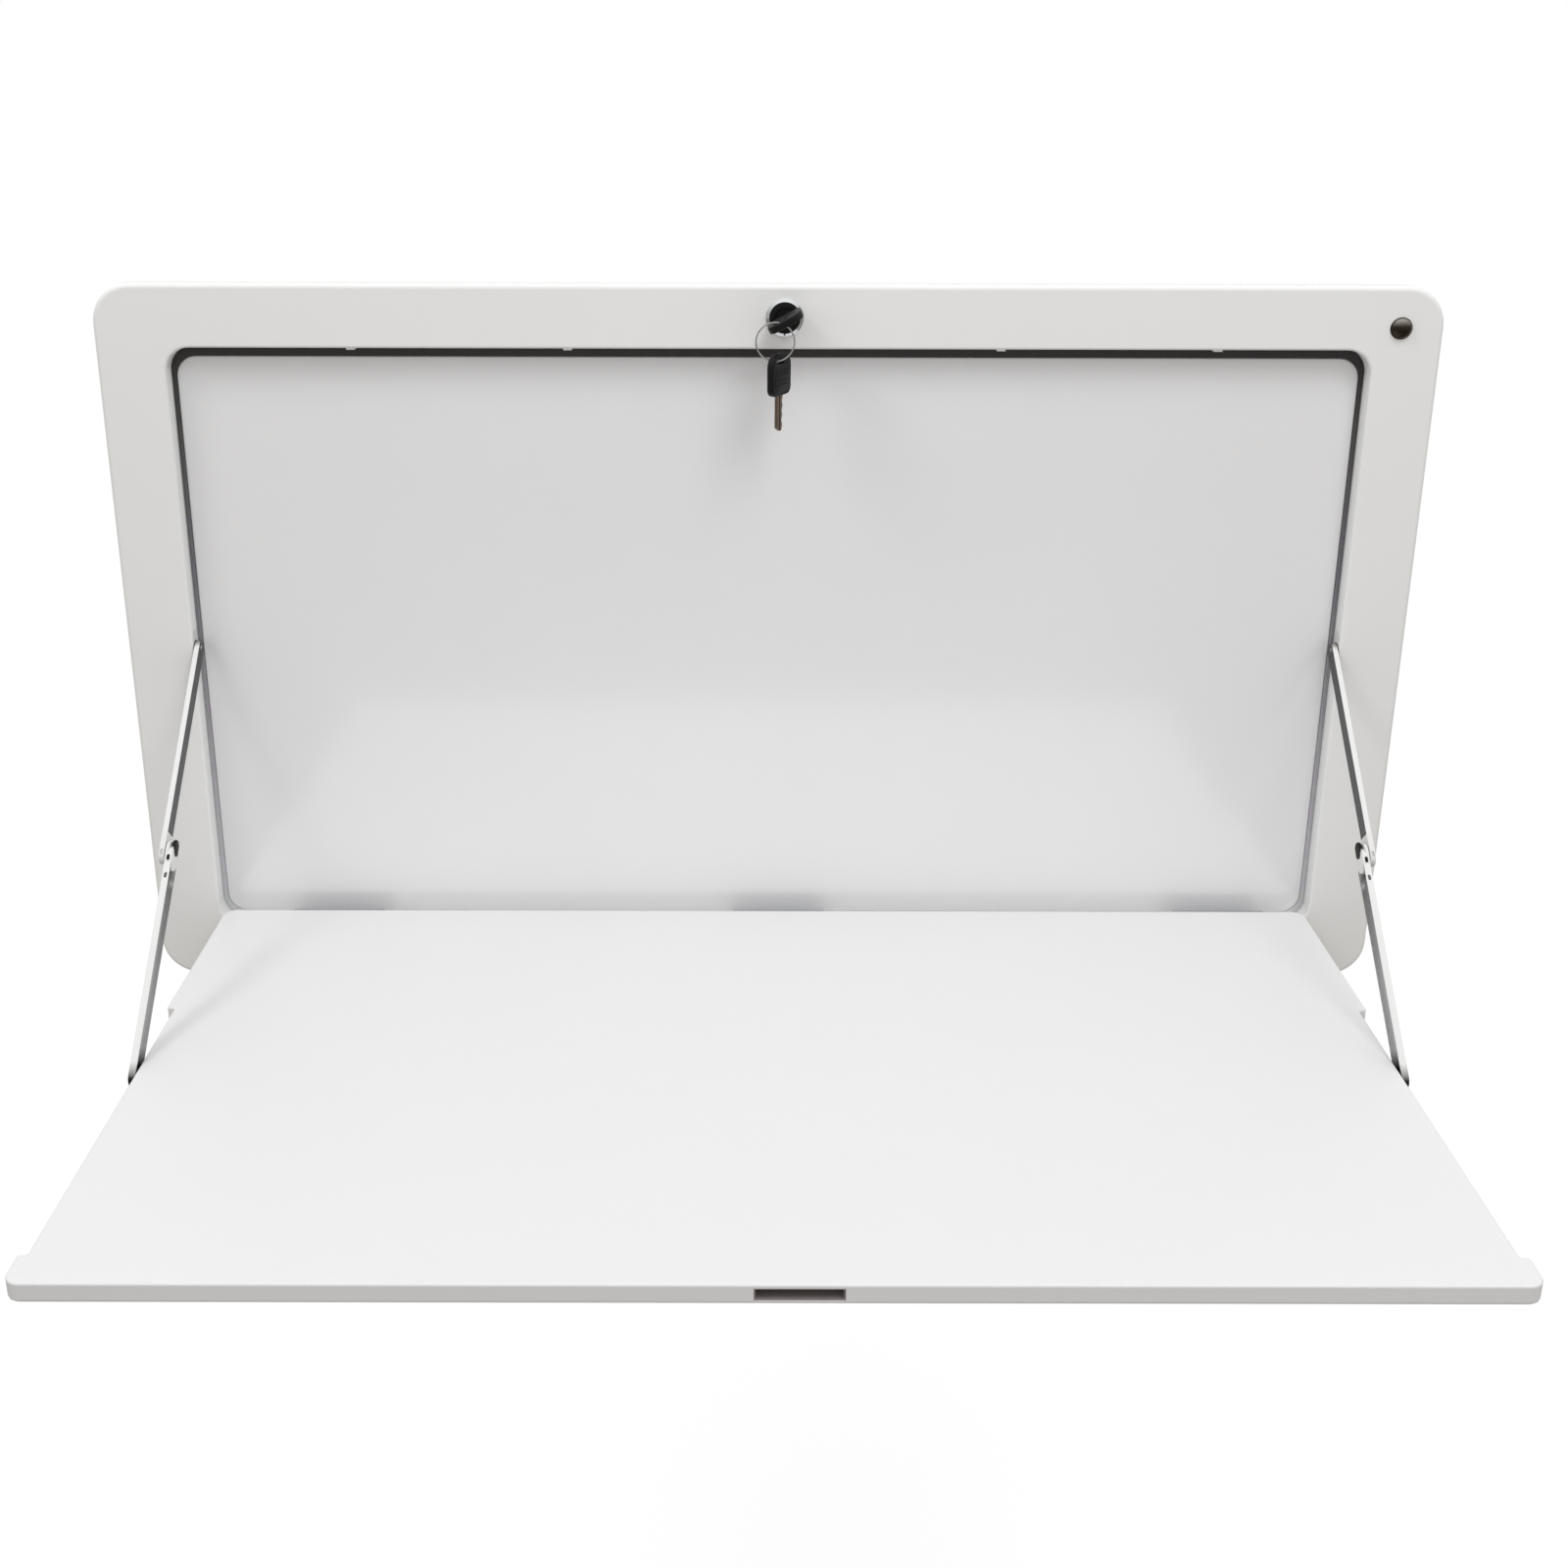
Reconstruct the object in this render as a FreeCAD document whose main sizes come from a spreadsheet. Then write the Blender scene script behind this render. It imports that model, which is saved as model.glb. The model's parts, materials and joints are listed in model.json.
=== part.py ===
import FreeCAD, Part
import math
import os
import re
import Sketcher

# Lockable drop-leaf table for a caravan or boat wall.
# A moulded surround with a flat panel behind its opening sits in a cut-out of the wall.
# The leaf is hinged along the bottom of the opening and hangs on two folding stays.
# Origin: middle of the surround's back plane, where it meets the wall.
# X runs to the right, Y into the wall, Z up. The leaf is drawn open.

os.makedirs("parts", exist_ok=True)
doc = FreeCAD.newDocument("DropLeafTable")

# Driving dimensions in millimetres, angles in degrees.
DRIVING = {
    # surround
    "frame_width": 800,
    "frame_height": 455,
    "frame_radius": 24,
    "flange_depth": 10,
    "face_wall": 3,
    "rim_wall": 2.5,
    "skirt_wall": 2.6,
    "skirt_reach": 14,
    "border_side": 40.5,
    "border_top": 37.8,
    "border_bottom": 36.6,
    "opening_radius": 15,
    "edge_round": 3,
    "lip_round": 1.6,
    "rib_wall": 1.6,
    "rib_inset": 72,
    "rib_clear": 0.5,
    "boss_radius": 4,
    "boss_sink": 0.8,
    "boss_pilot": 1.25,
    "nib_width": 5,
    "nib_height": 1.1,
    "nib_depth": 7,
    "nib_share": 0.359,
    "mount_inset_x": 20,
    "mount_inset_z": 57.5,
    "mount_boss": 5,
    "mount_pilot": 1.75,
    "mount_depth": 6,
    # panel and seal
    "seal_clear": 0.3,
    "seal_depth": 3,
    "seal_inset": 0.25,
    "seal_side": 2.15,
    "seal_top": 6.25,
    "seal_bottom": 3.2,
    "panel_wall": 2.2,
    "panel_rise": 1,
    "panel_round": 0.9,
    "panel_rib": 6,
    "panel_flange": 9,
    "panel_flange_wall": 2,
    "panel_screw_lag": 19.17,
    "panel_screw_share": 0.3,
    "panel_screw_head": 3.4,
    "panel_screw_cap": 2,
    "panel_screw_shank": 1.2,
    "panel_screw_length": 10,
    # leaf
    "leaf_thickness": 11,
    "leaf_side_gap": 4.5,
    "leaf_top_gap": 1.8,
    "leaf_radius": 8,
    "leaf_edge_round": 1.2,
    "leaf_under_round": 2.2,
    "leaf_skin": 2,
    "leaf_rim": 2.5,
    "skin_gap": 0.2,
    "notch_inset": 4.7,
    "notch_start": 127,
    "ear_depth": 21,
    "notch_radius": 2,
    # fittings that lean to one side of the middle
    "fittings_offset": 9.5,
    # hinges
    "knuckle_radius": 2.4,
    "pin_radius": 1.1,
    "pin_clear": 0.05,
    "hinge_sheet": 1.2,
    "hinge_width": 60,
    "hinge_inset": 69.5,
    "hinge_flap": 8.3,
    "knuckle_gap": 0.3,
    "hinge_screw_head": 2.1,
    "hinge_screw_shank": 1.1,
    "hinge_screw_length": 7,
    "hinge_rivet_length": 4,
    "hinge_screw_pitch": 21,
    # stays
    "upper_pivot_rise": 188,
    "lower_pivot_reach": 195,
    "wall_clear": 0.4,
    "upper_arm_width": 3.1,
    "upper_arm_depth": 10,
    "layer_gap": 1.1,
    "lower_arm_width": 3.9,
    "lower_arm_depth": 11,
    "arm_sheet": 1,
    "arm_tail": 14,
    "rivet_radius": 2,
    "rivet_clear": 0.06,
    "rivet_head": 3,
    "rivet_tail": 2.4,
    "rivet_cap": 0.8,
    "rivet_split": 0.1,
    "bracket_sheet": 1.5,
    "bracket_width": 8,
    "bracket_length": 26,
    "bracket_clear": 0.1,
    "bracket_rivet_pitch": 15,
    "leaf_screw_pitch": 36,
    "bracket_screw_head": 2.4,
    "bracket_screw_shank": 1.3,
    "bracket_screw_length": 9,
    "clip_length": 13,
    "clip_proud": 0.5,
    "clip_wall": 1.2,
    "clip_tongue": 6,
    "clip_slot": 3.4,
    "clip_slot_radius": 0.9,
    "pad_start": 5,
    "pad_half": 3.6,
    "dimple_reach": 14.6,
    # lock
    "lock_drop": 19,
    "bezel_radius": 11.2,
    "bezel_height": 2.8,
    "bezel_land": 8.4,
    "barrel_radius": 8.3,
    "barrel_clear": 0.1,
    "barrel_length": 21.5,
    "plug_radius": 5.6,
    "plug_clear": 0.08,
    "plug_proud": 0.4,
    "tail_square": 6,
    "cam_sheet": 2,
    "cam_clear": 0.15,
    "cam_width": 11,
    "cam_reach": 26.5,
    "cam_tongue_depth": 4.6,
    "cam_riser": 12,
    "cam_hub": 7,
    "cam_bend": 1,
    "cam_window_width": 46,
    "cam_window_margin": 0.7,
    "nut_flats": 19,
    "nut_height": 2.6,
    "nut_clear": 0.1,
    "cam_screw_radius": 3.4,
    "cam_screw_cap": 1.8,
    "cam_screw_shank": 1.4,
    "cam_screw_length": 4.4,
    "cam_screw_clear": 0.1,
    "strike_width": 41,
    "strike_height": 5.4,
    "strike_drop": 2.8,
    "strike_depth": 12,
    "strike_wall": 0.6,
    "strike_clear": 0.1,
    "strike_offset": 2,
    # keys
    "key_angle": 29,
    "bow_width": 22,
    "bow_length": 24.5,
    "bow_thickness": 4.4,
    "bow_round": 1.2,
    "bow_gap": 0.4,
    "bow_slot_half": 3.7,
    "bow_slot_radius": 1.3,
    "bow_slot_drop": 4.2,
    "bow_slot_side": 2.2,
    "blade_length": 21,
    "blade_width": 6.4,
    "blade_sheet": 2,
    "blade_root": 8,
    "blade_fit": 0.05,
    "keyway_clear": 0.25,
    "groove_depth": 0.5,
    "groove_width": 1.4,
    "ring_radius": 11.2,
    "ring_wire": 0.5,
    "ring_seat": 1.6,
    "ring_hang_angle": 65.8,
    "hang_clear": 0.5,
    "spare_turn": 60,
    "spare_side": 5,
    # corner stud
    "stud_inset_x": 25.7,
    "stud_drop": 24.5,
    "stud_radius": 5.2,
    "stud_height": 2.6,
    "stud_round": 1.8,
    "stud_shank": 2,
    "stud_hole_clear": 0.1,
    "stud_length": 6.5,
    "washer_radius": 5,
    "washer_height": 1,
    # one overrun for all cuts
    "overrun": 1,
}

sizes = doc.addObject("Spreadsheet::Sheet", "Sizes")
for row, (word, number) in enumerate(DRIVING.items(), start=1):
    sizes.set("A%d" % row, word)
    sizes.set("B%d" % row, str(number))
    sizes.setAlias("B%d" % row, word)
doc.recompute()

# Sizes and places that follow from the driving dimensions.
derived = doc.addObject("App::VarSet", "Derived")
FOLLOWING = []


def spell(formula):
    """Turn plain words of a formula into references to the sheet or the derived set."""
    def refer(match):
        word = match.group(0)
        if word in DRIVING:
            return "Sizes." + word
        if word in FOLLOWING:
            return "Derived." + word
        return word
    return re.sub(r"[a-z_][a-z_0-9]*", refer, str(formula))


def follow(word, formula):
    derived.addProperty("App::PropertyFloat", word, "Following")
    derived.setExpression(word, spell(formula))
    FOLLOWING.append(word)


def value(word):
    if word in DRIVING:
        return float(getattr(sizes, word))
    return float(getattr(derived, word))


follow("front_y", "-flange_depth")
follow("half_width", "frame_width / 2")
follow("half_height", "frame_height / 2")
follow("opening_half", "half_width - border_side")
follow("opening_top", "half_height - border_top")
follow("opening_bottom", "border_bottom - half_height")
follow("skirt_half", "opening_half + skirt_wall")
follow("skirt_top", "opening_top + skirt_wall")
follow("skirt_bottom", "opening_bottom - skirt_wall")
follow("face_back_y", "front_y + face_wall")
follow("rim_half", "half_width - rim_wall")
follow("rim_top", "half_height - rim_wall")
follow("hinge_y", "front_y + knuckle_radius")
follow("hinge_z", "opening_bottom + knuckle_radius")
follow("leaf_half", "opening_half - leaf_side_gap")
follow("leaf_bottom_z", "opening_bottom")
follow("leaf_top_z", "leaf_bottom_z + leaf_thickness")
follow("leaf_rear_y", "front_y")
follow("leaf_length", "opening_top - leaf_top_gap - hinge_z - knuckle_radius")
follow("leaf_front_y", "leaf_rear_y - leaf_length")
follow("notch_half", "leaf_half - notch_inset")
follow("notch_rear_y", "leaf_rear_y - notch_start")
follow("notch_front_y", "leaf_front_y + ear_depth")
follow("stay_depth", "leaf_thickness / 2")
follow("upper_pivot_y", "front_y + stay_depth")
follow("upper_pivot_z", "hinge_z + upper_pivot_rise")
follow("lower_pivot_y", "hinge_y - lower_pivot_reach")
follow("lower_pivot_z", "hinge_z + stay_depth - knuckle_radius")
follow("stay_run", "upper_pivot_y - lower_pivot_y")
follow("stay_fall", "upper_pivot_z - lower_pivot_z")
follow("stay_span", "sqrt(stay_run * stay_run + stay_fall * stay_fall)")
follow("upper_length", "(stay_span + lower_pivot_reach - upper_pivot_rise) / 2")
follow("lower_length", "(stay_span - lower_pivot_reach + upper_pivot_rise) / 2")
follow("upper_arm_out", "opening_half - wall_clear")
follow("upper_arm_in", "upper_arm_out - upper_arm_width")
follow("lower_arm_out", "upper_arm_in - layer_gap")
follow("lower_arm_in", "lower_arm_out - lower_arm_width")
follow("elbow_split", "upper_arm_in - layer_gap / 2")
follow("seal_front_y", "front_y + leaf_thickness + seal_clear")
follow("ledge_y", "seal_front_y + seal_depth")
follow("panel_half", "opening_half - seal_inset - seal_side")
follow("panel_top", "opening_top - seal_inset - seal_top")
follow("panel_bottom", "opening_bottom + seal_inset + seal_bottom")
follow("lock_z", "half_height - lock_drop")
follow("barrel_end_y", "front_y + barrel_length")
follow("cam_y", "barrel_end_y + cam_clear")
follow("bow_end_y", "front_y - bezel_height - bow_gap")
follow("ring_y", "bow_end_y - bow_length + bow_slot_drop")
follow("stud_x", "half_width - stud_inset_x")
follow("stud_z", "half_height - stud_drop")
follow("strike_x", "fittings_offset + strike_offset")
follow("strike_top_z", "leaf_top_z - strike_drop")
follow("strike_bottom_z", "strike_top_z - strike_height")
follow("mount_x", "half_width - mount_inset_x")
follow("mount_z", "half_height - mount_inset_z")
follow("nib_pitch", "opening_half * nib_share")
follow("hinge_pitch", "opening_half - hinge_inset")
follow("boss_ring", "skirt_wall + boss_radius - boss_sink")
follow("hinge_flap_start", "knuckle_radius + knuckle_gap")
follow("hinge_plate_mid_y", "hinge_y + (hinge_flap_start + hinge_flap) / 2")
follow("hinge_plate_mid_z", "hinge_z + (hinge_flap_start + hinge_flap) / 2")
follow("seat_x", "fittings_offset - ring_seat * cos(key_angle * 1deg)")
follow("seat_z", "lock_z - ring_seat * sin(key_angle * 1deg)")
follow("ring_x", "seat_x - ring_radius * cos(ring_hang_angle * 1deg)")
follow("ring_z", "seat_z - ring_radius * sin(ring_hang_angle * 1deg)")
follow("hang_z", "ring_z - ring_radius - bow_slot_radius + ring_wire + hang_clear")
doc.recompute()

STAY_ANGLE = math.degrees(math.atan2(value("stay_run"), value("stay_fall")))

X_AXIS = FreeCAD.Vector(1, 0, 0)
Y_AXIS = FreeCAD.Vector(0, 1, 0)
Z_AXIS = FreeCAD.Vector(0, 0, 1)
PLACES = []


def keep(obj, label):
    """Name a finished sub-part."""
    obj.Label = label
    PLACES.append(obj)
    return obj


# Sketches


def new_body(name):
    return doc.addObject("PartDesign::Body", "body_" + name)


def sketch_on(body, role, offset):
    """A sketch on one of the body's own origin planes, moved along its normal."""
    sketch = body.newObject("Sketcher::SketchObject", body.Name + "_sketch")
    plane = [item for item in body.Origin.OriginFeatures if item.Role == role][0]
    sketch.AttachmentSupport = [(plane, "")]
    sketch.MapMode = "FlatFace"
    sketch.setExpression("AttachmentOffset.Base.z", spell(offset))
    return sketch


class Holds:
    """The constraints of one outline, added together and bound to their formulas."""

    def __init__(self, sketch):
        self.sketch = sketch
        self.items = []
        self.formulas = {}

    def add(self, *parts):
        self.items.append(Sketcher.Constraint(*parts))

    def distance(self, kind, geometry, point, formula):
        """Hold a point at a distance from the sketch's own origin."""
        reach = probe(formula)
        if abs(reach) < 1e-9:
            axis = -2 if kind == "DistanceX" else -1
            self.add("PointOnObject", geometry, point, axis)
            return
        self.formulas[len(self.items)] = formula
        self.add(kind, -1, 1, geometry, point, reach)

    def radius(self, geometry, formula):
        self.formulas[len(self.items)] = formula
        self.add("Radius", geometry, probe(formula))

    def close(self):
        first = self.sketch.ConstraintCount
        self.sketch.addConstraint(self.items)
        for index, formula in self.formulas.items():
            self.sketch.setExpression("Constraints[%d]" % (first + index), spell(formula))


reader = doc.addObject("App::VarSet", "Reader")
reader.addProperty("App::PropertyFloat", "number", "Reader")


def probe(formula):
    """The number that a formula gives, read through a helper object."""
    reader.setExpression("number", spell(formula))
    reader.recompute()
    return float(reader.number)


def polygon(sketch, points):
    """A closed outline through points, each held by two formulas."""
    spots = [FreeCAD.Vector(probe(u), probe(v), 0) for u, v in points]
    first = sketch.GeometryCount
    count = len(spots)
    lines = [Part.LineSegment(spots[i], spots[(i + 1) % count]) for i in range(count)]
    sketch.addGeometry(lines, False)
    holds = Holds(sketch)
    for i in range(count):
        holds.add("Coincident", first + i, 2, first + (i + 1) % count, 1)
    for i, (u, v) in enumerate(points):
        holds.distance("DistanceX", first + i, 1, u)
        holds.distance("DistanceY", first + i, 1, v)
    holds.close()


def rectangle(sketch, left, right, low, high):
    polygon(sketch, [(left, low), (right, low), (right, high), (left, high)])


def rounded(sketch, left, right, low, high, radius):
    """A rectangle with four equal round corners."""
    x0, x1, y0, y1, r = [probe(item) for item in (left, right, low, high, radius)]
    first = sketch.GeometryCount
    point = FreeCAD.Vector
    parts = [
        Part.LineSegment(point(x0 + r, y0, 0), point(x1 - r, y0, 0)),
        Part.LineSegment(point(x1, y0 + r, 0), point(x1, y1 - r, 0)),
        Part.LineSegment(point(x1 - r, y1, 0), point(x0 + r, y1, 0)),
        Part.LineSegment(point(x0, y1 - r, 0), point(x0, y0 + r, 0))]
    centres = [(x1 - r, y0 + r), (x1 - r, y1 - r), (x0 + r, y1 - r), (x0 + r, y0 + r)]
    for turn, (cx, cy) in enumerate(centres):
        start = math.radians(90 * turn - 90)
        arc = Part.Circle(point(cx, cy, 0), Z_AXIS, r)
        parts.append(Part.ArcOfCircle(arc, start, start + math.pi / 2))
    sketch.addGeometry(parts, False)
    holds = Holds(sketch)
    for turn in range(4):
        holds.add("Tangent", first + turn, 2, first + 4 + turn, 1)
        holds.add("Tangent", first + 4 + turn, 2, first + (turn + 1) % 4, 1)
        holds.add("Vertical" if turn % 2 else "Horizontal", first + turn)
    for turn in range(1, 4):
        holds.add("Equal", first + 4, first + 4 + turn)
    holds.distance("DistanceY", first, 1, low)
    holds.distance("DistanceX", first + 1, 1, right)
    holds.distance("DistanceY", first + 2, 1, high)
    holds.distance("DistanceX", first + 3, 1, left)
    holds.radius(first + 4, radius)
    holds.close()


def circle(sketch, across, up, radius):
    centre = FreeCAD.Vector(probe(across), probe(up), 0)
    index = sketch.addGeometry(Part.Circle(centre, Z_AXIS, probe(radius)), False)
    holds = Holds(sketch)
    holds.distance("DistanceX", index, 3, across)
    holds.distance("DistanceY", index, 3, up)
    holds.radius(index, radius)
    holds.close()


def stadium(sketch, across, low, high, radius):
    """Two half circles joined by straight sides, along the sketch's upright axis."""
    x, y0, y1, r = [probe(item) for item in (across, low, high, radius)]
    point = FreeCAD.Vector
    first = sketch.GeometryCount
    top = Part.Circle(point(x, y1, 0), Z_AXIS, r)
    foot = Part.Circle(point(x, y0, 0), Z_AXIS, r)
    sketch.addGeometry([
        Part.LineSegment(point(x + r, y0, 0), point(x + r, y1, 0)),
        Part.ArcOfCircle(top, 0, math.pi),
        Part.LineSegment(point(x - r, y1, 0), point(x - r, y0, 0)),
        Part.ArcOfCircle(foot, math.pi, 2 * math.pi)], False)
    holds = Holds(sketch)
    for turn in range(4):
        holds.add("Tangent", first + turn, 2, first + (turn + 1) % 4, 1)
    holds.add("Vertical", first)
    holds.add("Equal", first + 1, first + 3)
    holds.distance("DistanceX", first + 1, 3, across)
    holds.distance("DistanceY", first + 1, 3, high)
    holds.distance("DistanceY", first + 3, 3, low)
    holds.radius(first + 1, radius)
    holds.close()


# Features between two levels of one axis

ROLES = {"x": "YZ_Plane", "y": "XZ_Plane", "z": "XY_Plane"}


def level(axis, formula):
    """The XZ plane looks along -Y, so its offset is counted the other way."""
    return "-(%s)" % formula if axis == "y" else formula


def pad(body, axis, low, high, draw, taper=None):
    """Add material from low to high along an axis."""
    start = high if axis == "y" else low
    sketch = sketch_on(body, ROLES[axis], level(axis, start))
    draw(sketch)
    feature = body.newObject("PartDesign::Pad", body.Name + "_pad")
    feature.Profile = sketch
    feature.setExpression("Length", spell("(%s) - (%s)" % (high, low)))
    if taper:
        feature.setExpression("TaperAngle", spell(taper))
    doc.recompute()
    return feature


def cut(body, axis, low, high, draw, taper=None):
    """Take material away from low to high along an axis."""
    start = low if axis == "y" else high
    sketch = sketch_on(body, ROLES[axis], level(axis, start))
    draw(sketch)
    before = body.Shape.Volume
    feature = body.newObject("PartDesign::Pocket", body.Name + "_pocket")
    feature.Profile = sketch
    feature.setExpression("Length", spell("(%s) - (%s)" % (high, low)))
    if taper:
        feature.setExpression("TaperAngle", spell(taper))
    doc.recompute()
    if body.Shape.Volume >= before:
        raise RuntimeError(feature.Name + " cuts nothing")
    return feature


def fillet(body, radius, chosen):
    """Round the edges that a test picks."""
    feature = body.newObject("PartDesign::Fillet", body.Name + "_fillet")
    shape = feature.BaseFeature.Shape if feature.BaseFeature else body.Shape
    names = ["Edge%d" % (i + 1) for i, edge in enumerate(shape.Edges) if chosen(edge)]
    if not names:
        raise RuntimeError(feature.Name + " finds no edge")
    feature.Base = (feature.BaseFeature, names)
    feature.setExpression("Radius", spell(radius))
    doc.recompute()
    return feature


def lies_at(axis, formula):
    """A test for edges that lie whole in one level."""
    level_value = probe(formula)

    def test(edge):
        box = edge.BoundBox
        low = {"x": box.XMin, "y": box.YMin, "z": box.ZMin}[axis]
        high = {"x": box.XMax, "y": box.YMax, "z": box.ZMax}[axis]
        near = value("overrun") / 1000
        return abs(low - level_value) < near and abs(high - level_value) < near
    return test


def turned(name, profile):
    """A piece turned about its own Z axis from a (radius, height) outline."""
    body = new_body(name)
    sketch = sketch_on(body, "XZ_Plane", "0")
    polygon(sketch, profile)
    feature = body.newObject("PartDesign::Revolution", body.Name + "_turn")
    feature.Profile = sketch
    feature.ReferenceAxis = (sketch, ["V_Axis"])
    feature.Angle = 360
    doc.recompute()
    return body


# Turned pieces point along another axis by one of these turns of their own Z axis.
POINT_LEFT = FreeCAD.Rotation(Y_AXIS, -90)
POINT_RIGHT = FreeCAD.Rotation(Y_AXIS, 90)
POINT_IN = FreeCAD.Rotation(X_AXIS, -90)
POINT_OUT = FreeCAD.Rotation(X_AXIS, 90)
POINT_DOWN = FreeCAD.Rotation(X_AXIS, 180)
POINT_UP = FreeCAD.Rotation()


def place(obj, x, y, z, rotation):
    """Move an object; its base stays bound to the formulas."""
    obj.Placement = FreeCAD.Placement(FreeCAD.Vector(0, 0, 0), rotation)
    obj.setExpression("Placement.Base.x", spell(x))
    obj.setExpression("Placement.Base.y", spell(y))
    obj.setExpression("Placement.Base.z", spell(z))
    doc.recompute()
    return obj


def copies(name, source, spots):
    """One node that holds equal, separate solids, each a placed copy of the source."""
    group = doc.addObject("Part::Feature", name + "_group")
    solids = []
    for spot, rotation in spots:
        shape = source.Shape.copy()
        shape.Placement = FreeCAD.Placement(FreeCAD.Vector(*spot), rotation)
        solids.append(shape)
    group.Shape = Part.makeCompound(solids)
    return group


def side_span(side, inner, outer):
    """A span of X on the right, or its mirror on the left."""
    if side > 0:
        return inner, outer
    return "-(%s)" % outer, "-(%s)" % inner


SIDES = {"left": -1, "right": 1}


# Surround: moulded frame, open at the back, with skirt, ribs and bosses.


def spread(count, pitch):
    """Places of a row that is even about the middle."""
    return ["(%s) * (%s)" % (i - (count - 1) / 2, pitch) for i in range(count)]


# the outer screws stand between two rivets of the outer hinges
PANEL_SCREWS_X = ["-(hinge_pitch + panel_screw_lag)", "-opening_half * panel_screw_share",
                  "opening_half * panel_screw_share", "hinge_pitch + panel_screw_lag"]
PANEL_SCREW_SHARES_Z = [-0.42, 0.42]
PANEL_SPOTS = []
for across in PANEL_SCREWS_X:
    PANEL_SPOTS.append((across, "opening_top + boss_ring"))
    PANEL_SPOTS.append((across, "opening_bottom - boss_ring"))
for share in PANEL_SCREW_SHARES_Z:
    PANEL_SPOTS.append(("opening_half + boss_ring", "opening_top * (%s)" % share))
    PANEL_SPOTS.append(("-opening_half - boss_ring", "opening_top * (%s)" % share))

# shares of the hinge pitch, so the ribs stay clear of the hinge rivets at any width
RIB_SHARES_X = [-24 / 29, -16 / 29, -8 / 29, 8 / 29, 16 / 29, 24 / 29]
RIB_SHARES_Z = [-0.6, -0.2, 0.2, 0.6]


def draw_ribs_across(sketch, low, high):
    """Ribs of the top or the bottom border; the outermost keep their inset."""
    places = ["hinge_pitch * (%s)" % share for share in RIB_SHARES_X]
    for at in ["-(half_width - rib_inset)"] + places + ["half_width - rib_inset"]:
        rectangle(sketch, at + " - rib_wall / 2", at + " + rib_wall / 2", low, high)


def draw_ribs_aside(sketch, left, right):
    """Ribs of one side border."""
    for share in RIB_SHARES_Z:
        at = "half_height * (%s)" % share
        rectangle(sketch, left, right, at + " - rib_wall / 2", at + " + rib_wall / 2")


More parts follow.
